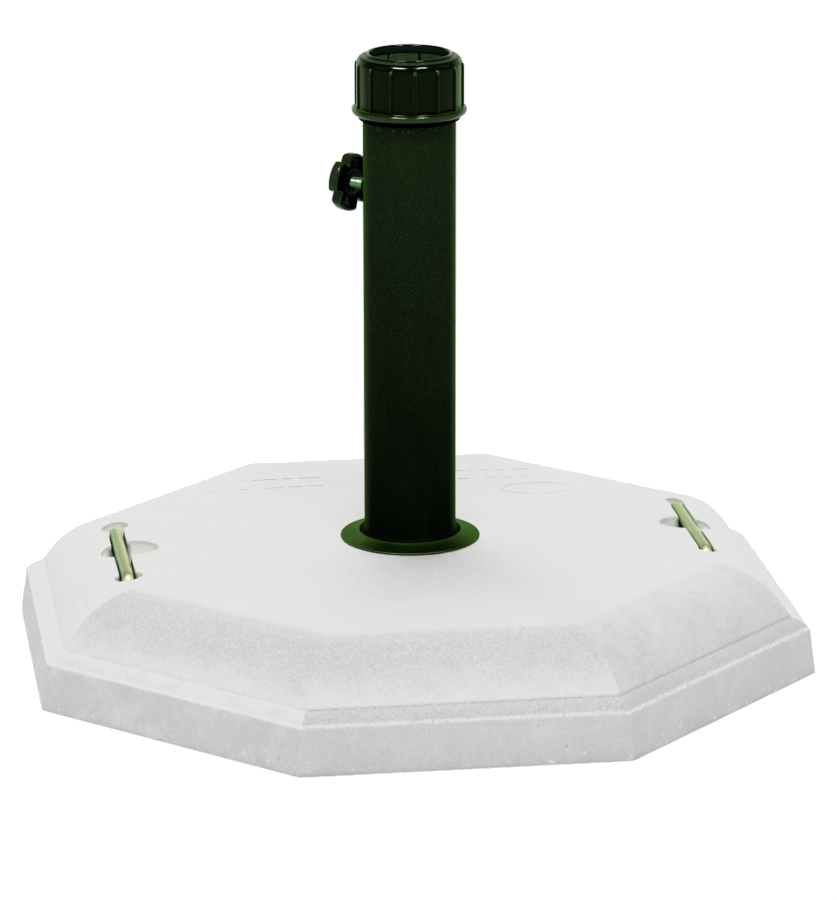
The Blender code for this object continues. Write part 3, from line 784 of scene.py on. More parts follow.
def octagon_ring(half_width, height, roundness=0.0):
    """An octagon with rounded hips. Roundness 1 turns it into a circle."""
    half_turn = pi / SIDES
    flat = (half_width - HIP_RADIUS) * tan(half_turn)
    hip = (half_width - HIP_RADIUS) / cos(half_turn)
    points = []
    for middle in even_angles(SIDES):
        out = Vector((cos(middle), sin(middle), 0))
        along = Vector((-sin(middle), cos(middle), 0))
        for i in range(SIDE_SPLITS + 1):
            points.append(out * half_width + along * flat * (2 * i / SIDE_SPLITS - 1))
        corner = middle + half_turn
        centre = Vector((cos(corner), sin(corner), 0)) * hip
        for i in range(1, HIP_STEPS):
            angle = middle + 2 * half_turn * i / HIP_STEPS
            points.append(centre + HIP_RADIUS * Vector((cos(angle), sin(angle), 0)))
    for point in points:
        point.length += (half_width - point.length) * roundness
        point.z = height
    return points


def weather(bm):
    """Gives the cast surface its slight unevenness, with small chips along the rim's edge and the hips."""
    bm.normal_update()
    for vert in bm.verts:
        spot = vert.co
        first, second = side_reach(spot)
        if first < CROWN_HALF_WIDTH or spot.z < 0.0008:
            continue
        wave = sum(depth * noise.noise(spot * waves) for depth, waves in WAVES)
        hip = bell(first - second, CHIP_HIP_WIDTH) * (spot.z < TOP_HEIGHT - 0.006)
        rim = bell(spot.z - (RIM_HEIGHT + 0.0003), CHIP_EDGE_WIDTH) * (first > 0.240)
        nick = max(0.0, noise.noise(spot * CHIP_WAVES + Vector((7, 3, 1))) - 0.22)
        chip = CHIP_DEPTH * nick * max(rim, 0.7 * hip)
        inwards = Vector((-spot.x, -spot.y, 0)).normalized() - Z_AXIS
        vert.co = spot + vert.normal * wave + inwards * chip * 0.7


def hollow(centre, size, half_gap, count=72):
    """A cutter for a pocket: a half ball drawn out along Y by half_gap each way, with a flared lip."""

    def spot(angle, share, flare=0.0):
        x = (size[0] * share + flare) * cos(angle)
        y = (size[1] * share + flare) * sin(angle) + copysign(half_gap, sin(angle))
        return Vector((centre[0] + x, centre[1] + y, 0))

    def wall(share):
        return centre[2] - size[2] * sqrt(1 - share * share)

    def under_lip(angle, share):
        return wall(share) < surface_height(spot(angle, share)) - LIP_RADIUS

    def meeting(angle):
        """The share of the ball's size at which its wall comes up to the lip."""
        if under_lip(angle, 1.0):
            return 1.0
        low, high = 0.0, 1.0
        for _ in range(24):
            share = (low + high) / 2
            if under_lip(angle, share):
                low = share
            else:
                high = share
        return low

    angles = even_angles(count, pi / count)
    limits = [meeting(angle) for angle in angles]
    rings = []
    for degrees in range(6, 90, 7):
        shares = [limit * sin(radians(degrees)) for limit in limits]
        ring = [spot(angle, share) for angle, share in zip(angles, shares)]
        for point, share in zip(ring, shares):
            point.z = wall(share)
        rings.append(ring)
    for degrees in (0, 15, 30, 45, 58, 68):
        flare = LIP_RADIUS * (1 - cos(radians(degrees)))
        drop = LIP_RADIUS * (1 - sin(radians(degrees)))
        ring = [spot(angle, limit, flare) for angle, limit in zip(angles, limits)]
        for point in ring:
            point.z = surface_height(point) - drop
        rings.append(ring)
    rings.append([point + Vector((0, 0, 0.004)) for point in rings[-1]])
    return mesh_object("hollow", skin(rings))


def read_handle(name):
    """A handle's rod: its place, its radius, the heights of its grip and feet, and its half length."""
    low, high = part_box(name)
    radius = (high.x - low.x) / 2
    return SimpleNamespace(
        name=name,
        x=(low.x + high.x) / 2,
        middle=(low.y + high.y) / 2,
        outwards=copysign(1, low.x + high.x),
        radius=radius,
        grip=high.z - radius,
        foot=low.z + radius,
        reach=(high.y - low.y) / 2,
    )


HANDLES = [read_handle("handle_left"), read_handle("handle_right")]


def pocket_cutters(handle):
    """The finger scoop, the trough for the rod, and a bowl round each of its ends."""
    scoop_place = (
        handle.x + handle.outwards * SCOOP_SHIFTS[handle.name],
        handle.middle + SCOOP_ALONG,
        POCKET_HEIGHT,
    )
    cutters = [hollow(scoop_place, (*SCOOP_HALF_SIZES[handle.name], SCOOP_DEPTH), 0.0, 96)]
    trough_place = (handle.x, handle.middle, POCKET_HEIGHT)
    cutters.append(hollow(trough_place, TROUGH_SIZE, TROUGH_HALF_LENGTH - TROUGH_SIZE[1]))
    bowl = (BOWL_RADII[handle.name], BOWL_RADII[handle.name], BOWL_DEPTH)
    for along in (-GRIP_HALF_LENGTH, GRIP_HALF_LENGTH):
        cutters.append(hollow((handle.x, handle.middle + along, POCKET_HEIGHT), bowl, 0.0))
    return cutters


def pocket_marks(spot, reach):
    """How much a spot is inside a pocket, which is painted paler to lift its shade, in the gap beside a rod,
    where shade is painted dark, and in a stained patch.
    """
    pocket = crevice_shade = stain = 0.0
    sunk = top_height(reach) - spot.z
    for handle in HANDLES:
        aside = abs(spot.x - handle.x)
        along = spot.y - handle.middle
        if reach < POCKETS_END and aside < 0.030 and sunk > POCKET_MARGIN:
            pocket = min(1.0, (sunk - POCKET_MARGIN) / 0.0006)
            if abs(along) < GRIP_HALF_LENGTH + 0.002 and sunk > 0.0020:
                # shade painted in the gap beside the rod
                crevice_shade = clamp((0.0084 - aside) / 0.0032)
        away = hypot(handle.outwards * (spot.x - handle.x) - STAIN_SHIFT[0], along - STAIN_SHIFT[1])
        stain = max(stain, bell(away, STAIN_RADIUS) * (1.0 if handle.x < 0 else 0.3))
    return pocket, crevice_shade, stain


def read_plinth(vert):
    """What a vertex of the cast surface belongs to."""
    spot = vert.co
    reach = side_reach(spot)[0]
    side = nearest_side(spot)
    outside = reach > LEDGE_START
    above_rim = spot.z > RIM_HEIGHT + 0.0001
    front = side.y < -0.5
    pocket, crevice_shade, stain = pocket_marks(spot, reach)
    return {
        "shoulder": reach <= SHOULDER_END and spot.z > RIM_HEIGHT + LEDGE_RISE - 0.0002,
        "ledge": outside and above_rim,
        "rim": outside and not above_rim,
        # these facet masks steer where light and shade are painted on the concrete
        "front": front,
        "front_left": front and side.x < -0.5,
        "front_right": front and side.x > 0.5,
        "back": side.y > 0.5,
        "wear_and_glint": outside * bell(spot.z - RIM_HEIGHT - 0.0006, 0.0009),
        "stain": stain,
        "pocket": pocket,
        "crevice_shade": crevice_shade,
        # the post's shadow, painted on the top in front of it, where the grain is also stronger
        "post_shadow_grit": bell(hypot(spot.x, spot.y + 0.095), 0.062),
    }


def build_plinth():
    underside = [(0.030, 0.0, 1.0), (0.120, 0.0), (0.220, 0.0)]
    well = [
        (0.0400, CROWN_HEIGHT, 0.6),
        (0.0340, CROWN_HEIGHT, 0.95),
        (WELL_RADIUS + WELL_EDGE, CROWN_HEIGHT, 1.0),
        (WELL_RADIUS, CROWN_HEIGHT - WELL_EDGE, 1.0),
        (WELL_RADIUS, WELL_FLOOR, 1.0),
        (WELL_CORE, WELL_FLOOR, 1.0),
        (WELL_CORE, CORE_TOP, 1.0),
    ]
    bm = skin([octagon_ring(*place) for place in underside + PLINTH_PROFILE + well])
    bmesh.ops.recalc_face_normals(bm, faces=bm.faces)
    weather(bm)
    plinth = mesh_object("plinth_cast", bm)
    cut(plinth, *(cutter for handle in HANDLES for cutter in pocket_cutters(handle)))
    store(plinth.data, read_plinth)
    finish_piece(plinth, "base", "concrete", "plinth")


def low_relief(outlines, rise):
    """Flat raised shapes on the plinth's top, from closed outlines of (x, y), with softly bevelled edges."""
    bm = bmesh.new()
    for outline in outlines:
        middle = sum((Vector(point) for point in outline), Vector((0, 0))) / len(outline)
        rings = []
        for inset, height in ((0.0, -0.0008), (0.0, 0.3 * rise), (0.0002, 0.8 * rise), (0.0004, rise)):
            ring = []
            for point in outline:
                flat = Vector(point)
                flat = (flat + (middle - flat).normalized() * inset).to_3d()
                ring.append(flat + Z_AXIS * (surface_height(flat) + height))
            rings.append(ring)
        shape = skin(rings)
        part = bpy.data.meshes.new("part")
        shape.to_mesh(part)
        shape.free()
        bm.from_mesh(part)
        bpy.data.meshes.remove(part)
    return bm


def rounded_bar(start, end, y):
    """The outline of a bar with round ends."""
    half = MARK_WIDTH / 2
    return arc((end, y), (half, half), -90, 90, 6) + arc((start, y), (half, half), 90, 270, 6)


def build_cast_marks():
    """Plain raised bars and a plain oval on the top behind the post."""
    outlines = []
    for start, y, widths, gaps in MARK_ROWS:
        for width, gap in zip(widths, gaps):
            outlines.append(rounded_bar(start, start + width, y))
            start += width + gap
    outer = [size / 2 for size in OVAL_SIZE]
    inner = [size / 2 - MARK_WIDTH for size in OVAL_SIZE]
    step = 360 / OVAL_SEGMENTS
    for i in range(OVAL_SEGMENTS):
        start, end = i * step, (i + 1) * step
        outlines.append(arc(OVAL_CENTRE, outer, start, end, 1) + arc(OVAL_CENTRE, inner, end, start, 1))
    marks = mesh_object("cast_marks", low_relief(outlines, MARK_RISE))
    finish_piece(marks, "base", "concrete")


def rod_rings(handle):
    """A rod's rings: in from one buried end, up, along the grip, down, and out to the other end."""
    half = (
        (-handle.reach, handle.foot),
        (-GRIP_HALF_LENGTH, handle.foot),
        (-GRIP_HALF_LENGTH, handle.grip),
    )
    outline = list(half) + [(-y, z) for y, z in reversed(half)]
    path = bent_path([Vector((handle.x, handle.middle + y, z)) for y, z in outline], BEND_RADIUS, 16)
    angles = even_angles(40)
    side = Vector((1, 0, 0))
    rings = []
    for i, point in enumerate(path):
        along = (path[min(i + 1, len(path) - 1)] - path[max(i - 1, 0)]).normalized()
        up = side.cross(along)
        for shrink, shift in ((ROD_END_EDGE, 0.0), (0.0, ROD_END_EDGE)) if i == 0 else ((0.0, 0.0),):
            radius, middle = handle.radius - shrink, point + along * shift
            rings.append([middle + radius * (side * cos(a) + up * sin(a)) for a in angles])
    last = rings[-1]
    centre = sum(last, Vector()) / len(angles)
    rings[-1] = [point - Vector((0, ROD_END_EDGE, 0)) for point in last]
    rings.append([centre + (point - centre) * 0.85 for point in last])
    return rings


def build_handle(handle):
    rod = mesh_object(f"{handle.name}_rod", skin(rod_rings(handle)))
    is_left = handle.outwards < 0

    def read_rod(vert):
        from_end = vert.co.y - handle.middle + GRIP_HALF_LENGTH
        off = (handle.x - vert.co.x) / handle.radius
        return {
            # painted shade on the rod's flanks, painted light along its top
            "flank": clamp(0.42 + 0.6 * off if is_left else 0.10 + 0.75 * abs(off - 0.05)),
            "blush": (1.0 if is_left else 0.25) * clamp(1.0 - from_end / 0.045),
            # a painted glint at the near end
            "bright": bell(from_end + 0.0010, 0.0036),
        }

    store(rod.data, read_rod)
    finish_piece(rod, "base", "zinc_steel", handle.name, "zinc_rod")


# ---------------------------------------------------------------- post and its foot
CLAMP_SIDE = Z_AXIS.cross(CLAMP_AXIS)
CLAMP_MATRIX = Matrix.Translation((0, 0, CLAMP_HEIGHT)) @ Matrix(
    [
        [0, CLAMP_SIDE.x, CLAMP_AXIS.x, 0],
        [0, CLAMP_SIDE.y, CLAMP_AXIS.y, 0],
        [-1, 0, 0, 0],
        [0, 0, 0, 1],
    ]
)


def place_on_clamp(obj, turn=0.0):
    obj.matrix_world = CLAMP_MATRIX @ Matrix.Rotation(turn, 4, "Z")
    return obj


def screw_hole(start, end):
    """A cutter for the clamp screw's hole."""
    rings = circles([(SCREW_HOLE, start), (SCREW_HOLE, end)], even_angles(48))
    return place_on_clamp(mesh_object("hole", skin(rings)))


def build_post():
    foot, top = POST[0].z, POST[1].z
    inside, edge = POST_RADIUS - POST_WALL, POST_EDGE
    outer = [(POST_RADIUS - edge, foot), (POST_RADIUS, foot + edge)]
    outer += line(outer[-1], (POST_RADIUS, top - edge), 24)
    outer += arc((POST_RADIUS - edge, top - edge), (edge, edge), 0, 90, 3)
    inner = arc((inside + edge, top - edge), (edge, edge), 90, 180, 3)
    inner += line(inner[-1], (inside, foot), 8) + [(inside, foot)]
    tube = mesh_object("post_tube_painted", turned(outer + inner))
    cut(tube, screw_hole(inside - 0.003, POST_RADIUS + 0.004))
    finish_piece(tube, "base", "post_paint", "post_tube")


def build_rosette():
    base, top, outside = ROSETTE[0].z, ROSETTE[1].z, ROSETTE[1].x
    hole = ROSETTE_HOLE
    skirt = (outside - 0.0010, base + 0.0013)
    slope = line(skirt, (hole + 0.0016, top - 0.0006), 9)
    profile = [(hole, base + 0.0026), (outside - 0.004, base), (outside - 0.0006, base)]
    profile += arc((outside - 0.0006, base + 0.0006), (0.0006, 0.0006), -90, 60, 6) + [skirt]
    profile += [(r, z - 0.00025 * sin(pi * i / 9)) for i, (r, z) in enumerate(slope, 1)]
    profile += arc((hole + 0.0009, top - 0.0009), (0.0009, 0.0009), 70, 180, 7)
    ring = mesh_object("rosette_ring", turned(profile, 160))

    def read_ring(vert):
        radius = hypot(vert.co.x, vert.co.y)
        inner = bell(radius - hole - 0.0008, 0.0008) * (vert.co.z > top - 0.0015)
        return {
            # paler edges: partly wear, partly painted highlight
            "wear_and_glint": max(inner, 0.6 * bell(radius - outside, 0.0006)),
            # painted shade, strongest at the front
            "shaded": clamp((-vert.co.y / radius - 0.45) / 0.40),
        }

    store(ring.data, read_ring)
    finish_piece(ring, "base", "ring_paint", "base_rosette")


def build_foot_collar():
    bore = POST_RADIUS + GAP
    outside, foot, top = COLLAR[1].x, COLLAR[0].z, COLLAR[1].z
    profile = [(bore, foot), (outside - 0.0003, foot), (outside, foot + 0.0003)]
    profile += arc((outside, top), (outside - POST_RADIUS - 0.00002, 0.0062), 270, 180, 18)
    profile += [(POST_RADIUS - 0.0002, top), (POST_RADIUS - 0.0002, top - 0.0012), (bore, top - 0.0016)]
    finish_piece(mesh_object("foot_collar_flare", turned(profile)), "base", "post_paint", "foot_collar")


# ---------------------------------------------------------------- screw collar
def levels(start, end, step):
    """Heights from start on, up to but without end."""
    height = start
    while (end - height) * step > 0:
        yield height
        height += step


def thread_rise(angle, height, root, thread):
    """How far a helical ridge stands from radius root at an angle (0 to a full turn) and height."""
    crest, start, turns = thread
    offset = height - start - THREAD_PITCH * angle / TURN
    turn = round(offset / THREAD_PITCH)
    travelled = turn + angle / TURN
    if travelled < 0 or travelled > turns:
        return 0.0
    off_centre = abs(offset - turn * THREAD_PITCH)
    flank = (THREAD_ROOT_WIDTH / 2 - off_centre) / ((THREAD_ROOT_WIDTH - THREAD_CREST_WIDTH) / 2)
    runout = min(1.0, 6 * min(travelled, turns - travelled) + 0.02)
    return (crest - root) * clamp(flank) * runout


def threaded_rings(heights, core, thread, angles):
    rings = []
    for height in heights:
        reaches = [core + thread_rise(a % TURN, height, core, thread) for a in angles]
        rings.append(loop(reaches, height, angles))
    return rings


def finger_slot(number):
    """A cutter for the slot between two fingers, round at its root."""
    half = FINGER_SLOT_WIDTH / 2
    above = SLEEVE[1].z + 0.004
    root = arc((0.0, FINGER_ROOT + half), (half, half), 180, 360, 9)
    outline = [(-half, above)] + root + [(half, above)]
    ends = (SLEEVE_BORE - 0.004, SLEEVE_CORE + 0.004)
    blade = mesh_object("blade", skin([[Vector((x, y, z)) for y, z in outline] for x in ends]))
    blade.matrix_world = Matrix.Rotation(TURN * (number + 0.5) / FINGER_SLOTS, 4, "Z")
    return blade


def build_sleeve():
    foot, tip = SLEEVE[0].z, SLEEVE[1].z
    seat = POST[1].z + GAP
    flange_top = seat + FLANGE_THICKNESS
    angles = even_angles(POST_ROUND)
    corners = [
        (SLEEVE_BORE, foot),
        (SLEEVE_SPIGOT - 0.001, foot),
        (SLEEVE_SPIGOT, foot + 0.003),
        (SLEEVE_SPIGOT, seat),
        (FLANGE_RADIUS, seat),
        (FLANGE_RADIUS, flange_top),
        (SLEEVE_CORE, flange_top),
    ]
    rings = circles(softened(corners, 0.0003, closed=False, steps=3), angles)
    thread_levels = levels(flange_top + 0.0004, FINGER_ROOT, 0.00045)
    rings += threaded_rings(thread_levels, SLEEVE_CORE, SLEEVE_THREAD, angles)
    root, tip_edge = (SLEEVE_CORE, FINGER_ROOT), (FINGER_TIP_RADIUS, tip - 0.0006)
    fingers = [root, *line(root, tip_edge, 8), tip_edge]
    fingers += [(FINGER_TIP_RADIUS - 0.0006, tip), (SLEEVE_BORE + 0.0003, tip)]
    rings += circles(fingers + line((SLEEVE_BORE, tip - 0.0003), (SLEEVE_BORE, foot), 20), angles)
    sleeve = mesh_object("collet_sleeve_threaded", skin(rings, closed=True), 40)
    cut(sleeve, *(finger_slot(number) for number in range(FINGER_SLOTS)))
    finish_piece(sleeve, "base", "sleeve_plastic", "collet_sleeve")


def build_wedge_ring():
    """The loose ring that the cap presses down over the tapered fingers."""
    foot, top, outside = WEDGE[0].z, WEDGE[1].z, WEDGE[1].x
    slope = (SLEEVE_CORE - FINGER_TIP_RADIUS) / (SLEEVE[1].z - FINGER_ROOT)
    foot_bore, top_bore = (SLEEVE_CORE - slope * (z - FINGER_ROOT) + WEDGE_PLAY for z in (foot, top))
    corners = [(foot_bore, foot), (outside, foot), (outside, top), (top_bore, top)]
    ring = mesh_object("wedge_ring_moulded", turned(softened(corners, 0.0004)))
    finish_piece(ring, "wedge", "sleeve_plastic", "wedge_ring")


def cap_angles():
    """Angles with fine steps across each rib and coarse ones across the panels."""
    step = TURN / RIB_COUNT
    half_rib = (0.25, 0.5, 0.75, 0.9, 1.0, 1.2, 1.5)
    shares = [-share for share in reversed(half_rib)] + [0.0, *half_rib]
    angles = []
    for i in range(RIB_COUNT):
        middle = i * step + RIB_PHASE
        angles += [middle + RIB_HALF_ANGLE * share for share in shares]
        start, end = middle + 1.5 * RIB_HALF_ANGLE, middle + step - 1.5 * RIB_HALF_ANGLE
        angles += [start + (end - start) * k / 7 for k in range(1, 7)]
    return angles


def rib_rise(angle, height, foot):
    """How far the ribs stand from the cap's wall at an angle and height."""
    step = TURN / RIB_COUNT
    off = abs((angle - RIB_PHASE + step / 2) % step - step / 2) / RIB_HALF_ANGLE
    if off >= 1.2 or height > RIB_TIP:
        return 0.0
    across = (1 - min(off, 1.0) ** 3) ** 0.6
    end = max(0.0, (height - (RIB_TIP - RIB_TIP_LENGTH)) / RIB_TIP_LENGTH)
    along = sqrt(max(0.0, 1 - end * end)) * clamp((height - foot) / 0.0004)
    return RIB_HEIGHT * across * along


def build_cap():
    foot, top = CAP[0].z, CAP[1].z
    rib_foot = BEAD_HEIGHT + BEAD_RADIUS + 0.0001
    shoulder_foot = top - CAP_SHOULDER
    angles = cap_angles()
    bead = arc((CAP_RADIUS + 0.0010, BEAD_HEIGHT - 0.0005), (BEAD_RADIUS, BEAD_RADIUS + 0.0005), -80, 100, 18)
    below = [(CAP_BORE + 0.0003, foot), (CAP_BORE + 0.0009, foot), (CAP_BORE + 0.0012, foot + 0.0003)]
    below += [(CAP_BORE + 0.0014, bead[0][1] + 0.0002), *bead, (CAP_RADIUS + 0.0002, rib_foot)]
    wall = [(CAP_RADIUS, rib_foot + 0.0004)]
    wall += line(wall[0], (CAP_RADIUS, shoulder_foot), 12)
    wall += arc((CAP_RADIUS - 0.0045, shoulder_foot), (0.0045, 0.0050), 0, 75, 22)
    groove = ((0.0030, 0.0015), (0.0026, 0.0018), (0.0023, 0.0014), (0.0021, 0.0007))
    lip = [(CAP_MOUTH + out, top - down) for out, down in groove]
    lip += arc((CAP_MOUTH + 0.0011, top - 0.0010), (0.0011, 0.0010), 35, 180, 10)
    lip += line(lip[-1], (CAP_MOUTH, CAP_ROOF), 4)
    lip += [(CAP_MOUTH + 0.0003, CAP_ROOF), (CAP_BORE - 0.0003, CAP_ROOF)]
    rings = circles(below, angles)
    for radius, height in wall:
        rings.append(loop([radius + rib_rise(a, height, rib_foot) for a in angles], height, angles))
    rings += circles(lip, angles)
    thread_levels = levels(CAP_ROOF - 0.0004, foot + 0.0005, -0.0005)
    rings += threaded_rings(thread_levels, CAP_BORE, CAP_THREAD, angles)
    cap = mesh_object("lock_cap_ribbed", skin(rings, closed=True), 50)

    def read_cap(vert):
        z, radius = vert.co.z, hypot(vert.co.x, vert.co.y)
        # painted highlights on the rib tips and along the bead's crest
        tip = bell(z - RIB_TIP + 0.0010, 0.0012) * (radius > CAP_RADIUS + 0.0006)
        rim = 0.5 * bell(radius - BEAD_RADIUS - CAP_RADIUS - 0.0010, 0.0006)
        # painted shade on the roof between lip and shoulder
        on_roof = CAP_MOUTH + 0.0022 < radius < CAP_RADIUS - 0.0015 and z > top - 0.0035
        return {
            "wear_and_glint": max(tip, rim),
            # painted shade on the roof and on the underside below the bead
            "shaded": max(0.62 * on_roof, min(1.0, (BEAD_HEIGHT - 0.0022 - z) / 0.0006)),
            # painted light on the inner wall
            "throat": radius < CAP_BORE + 0.0001 and z < top - 0.0009,
        }

    store(cap.data, read_cap)
    finish_piece(cap, "cap", "green_plastic", "lock_cap")


# ---------------------------------------------------------------- side clamp
def build_weld_nut():
    """A hexagon nut with chamfered corners, saddled onto the post."""
    corner = NUT_ACROSS_FLATS / 2 / cos(pi / 6)
    chamfer = [(0.0011 * (1 - sin(radians(d))), 0.0010 * (1 - cos(radians(d)))) for d in (30, 60, 90)]
    sections = [(POST_RADIUS - 0.003, 0.0), (NUT_FACE - 0.0011, 0.0)]
    sections += [(NUT_FACE - below, inset) for below, inset in chamfer]
    angles = even_angles(72)
    rings = []
    for height, inset in sections:
        reaches = []
        for angle in angles:
            off = (angle + pi / 6) % (pi / 3) - pi / 6
            reach = min(NUT_ACROSS_FLATS / 2 / cos(off), corner - 0.0002)
            reaches.append(min(reach, corner - 0.0009) - inset * 0.4 if inset else reach)
        rings.append(loop(reaches, height, angles))
    nut = place_on_clamp(mesh_object("weld_nut_hex", skin(rings), 25))
    post_outline = [(POST_RADIUS + GAP, 0.28), (POST_RADIUS + GAP, 0.33)]
    saddle = mesh_object("saddle", turned(post_outline, 96, closed=False))
    cut(nut, saddle, screw_hole(0.025, NUT_FACE + 0.002))
    finish_piece(nut, "base", "post_paint", "weld_nut")


def build_weld_bead():
    """The bead that joins nut and post: an uneven ring that follows the post's curve round the nut."""
    rings = []
    for angle in even_angles(96):
        ripple = 0.00018 * sin(angle * 23) + 0.00016 * noise.noise(Vector((angle * 3, 1.0, 2.0)))
        section = []
        for around in even_angles(12):
            reach = NUT_ACROSS_FLATS / 2 + 0.0010 + (WELD_RADIUS + ripple) * cos(around)
            x, y = reach * cos(angle), reach * sin(angle)
            height = sqrt(POST_RADIUS**2 - y**2) + 0.0004 + (0.0010 + ripple) * sin(around)
            section.append(Vector((x, y, height)))
        rings.append(section)
    bead = place_on_clamp(mesh_object("weld_bead", skin(rings, closed=True)))
    finish_piece(bead, "base", "post_paint")


def build_clamp_screw():
    """The M8 clamp screw, with its thread cut as one helix that fades out at both ends."""
    start = PAD_FACE + PAD_THICKNESS + GAP
    end = KNOB_BACK + KNOB_SOCKET_DEPTH - GAP
    dog = start - GAP - DOG_LENGTH
    root = SCREW_RADIUS - SCREW_THREAD_DEPTH
    angles = even_angles(60)
    point = [(DOG_RADIUS - 0.0003, dog), (DOG_RADIUS, dog + 0.0003), (DOG_RADIUS, start)]
    rings = circles([*point, (root - 0.0002, start)], angles)
    step = SCREW_PITCH / 10
    for height in levels(start + step, end - 0.0002, step):
        depth = SCREW_THREAD_DEPTH * clamp(min((height - start) / 0.0012, (end - height) / 0.0008))
        phases = [(height / SCREW_PITCH - angle / TURN) % 1.0 for angle in angles]
        reaches = [root + depth * clamp(1.25 - 2.5 * abs(phase - 0.5)) for phase in phases]
        rings.append(loop(reaches, height, angles))
    rings.append(circle(root, end, angles))
    screw = place_on_clamp(mesh_object("clamp_screw_threaded", skin(rings), 60))
    finish_piece(screw, "knob", "zinc_steel", "clamp_screw", "zinc_screw")


def build_clamp_pad():
    back = PAD_FACE + PAD_THICKNESS
    profile = arc((PAD_RADIUS - 0.0006, PAD_FACE + 0.0006), (0.0006, 0.0006), -90, 0, 5)
    profile += [(PAD_RADIUS, back - 0.0002), (PAD_RADIUS - 0.0002, back)]
    profile += [(DOG_RADIUS + GAP, back), (DOG_RADIUS + GAP, back - DOG_LENGTH - GAP)]
    pad = place_on_clamp(mesh_object("clamp_pad_moulded", turned(profile, 64, closed=False)))
    finish_piece(pad, "pad", "seal_rubber", "clamp_pad")


def knob_outline(inset, height, angles):
    """The lobed outline at a height, pulled in by inset. The notches get shallower towards the front."""
    back_depth, front_depth = KNOB_NOTCH_DEPTHS
    depth = back_depth + (front_depth - back_depth) * clamp((height - KNOB_BACK) / KNOB_THICKNESS)
    pitch = TURN / KNOB_NOTCHES
    reaches = []
    for angle in angles:
        off = abs((angle + pitch / 2) % pitch - pitch / 2)
        share = 0.5 + 0.5 * cos(pi * min(off / KNOB_NOTCH_HALF_ANGLE, 1.0))
        reaches.append(KNOB_RADIUS - depth * max(0.0, share) ** 0.65 - inset)
    return loop(reaches, height, angles)


def knob_edge(inset, inwards, level, lift, degrees, angles):
    """Outlines round a rounded edge, which goes inwards and away from level by up to those sizes."""
    rings = []
    for turn in map(radians, degrees):
        height = level + lift * (1 - sin(turn))
        rings.append(knob_outline(inset + inwards * (1 - cos(turn)), height, angles))
    return rings


def build_knob():
    """A lobed knob: a hub round the screw, a groove in its back, a rounded rim and a domed front."""
    angles = even_angles(288)
    front = KNOB_BACK + KNOB_THICKNESS
    floor = KNOB_BACK + KNOB_GROOVE_DEPTH
    bore = SCREW_RADIUS + GAP
    hub = [(bore, KNOB_BACK + KNOB_SOCKET_DEPTH), (bore, KNOB_BACK + 0.0003), (bore + 0.0003, KNOB_BACK)]
    hub += [(0.0064, KNOB_BACK), (0.0068, KNOB_BACK + 0.0002), (0.0086, KNOB_BACK + 0.0002)]
    hub += arc((KNOB_HUB_RADIUS - 0.0005, KNOB_BACK + 0.0006), (0.0005, 0.0006), -90, 0, 5)
    hub += [(KNOB_HUB_RADIUS + 0.0003, floor - 0.0003), (KNOB_HUB_RADIUS + 0.0006, floor)]
    rings = circles(hub, angles)
    for thicker, height in ((0.0004, floor), (0.0, floor - 0.0005), (-0.0003, KNOB_BACK + 0.0006)):
        rings.append(knob_outline(KNOB_RIM_WALL + thicker, height, angles))
    rings += knob_edge(KNOB_RIM_WALL - 0.0004, -0.0006, KNOB_BACK, 0.0006, range(0, 91, 15), angles)
    side_start = len(rings) * len(angles)
    rings += knob_edge(0.0, KNOB_BACK_EDGE, KNOB_BACK, KNOB_BACK_EDGE, range(90, -1, -15), angles)
    side_height = KNOB_THICKNESS - KNOB_BACK_EDGE - KNOB_FRONT_EDGE
    rings += [knob_outline(0.0, KNOB_BACK + KNOB_BACK_EDGE + side_height * i / 4, angles) for i in (1, 2, 3)]
    rings += knob_edge(0.0, KNOB_FRONT_EDGE, front, -KNOB_FRONT_EDGE, range(0, 91, 10), angles)
    rim, middle = knob_outline(KNOB_FRONT_EDGE, front, angles), circle(0.0070, front, angles)
    for share in (0.25, 0.5, 0.75, 1.0):
        dome = Z_AXIS * KNOB_DOME * sin(pi / 2 * share)
        rings.append([edge.lerp(point, share) + dome for edge, point in zip(rim, middle)])
    knob = mesh_object("clamp_knob_lobed", skin(rings), 50)
    edge_end = side_start + 4 * len(angles)

    def read_knob(vert):
        radius = hypot(vert.co.x, vert.co.y)
        at_back = clamp((KNOB_BACK + 0.0030 - vert.co.z) / 0.0006)
        recess = at_back * (radius > KNOB_HUB_RADIUS - 0.0004 and vert.index < side_start)
        on_hub = at_back * (radius <= KNOB_HUB_RADIUS + 0.0003)
        return {
            # painted shade in the back groove and on the hub
            "shaded": max(0.9 * recess, 0.55 * on_hub),
            "hub": on_hub,
            # painted light on the outer sides
            "grip": vert.index >= side_start,
            # a painted highlight along the back edge of the lobes
            "wear_and_glint": 0.5 * (side_start <= vert.index < edge_end),
        }

    store(knob.data, read_knob)
    place_on_clamp(knob, KNOB_TURN)
    finish_piece(knob, "knob", "green_plastic", "clamp_knob")


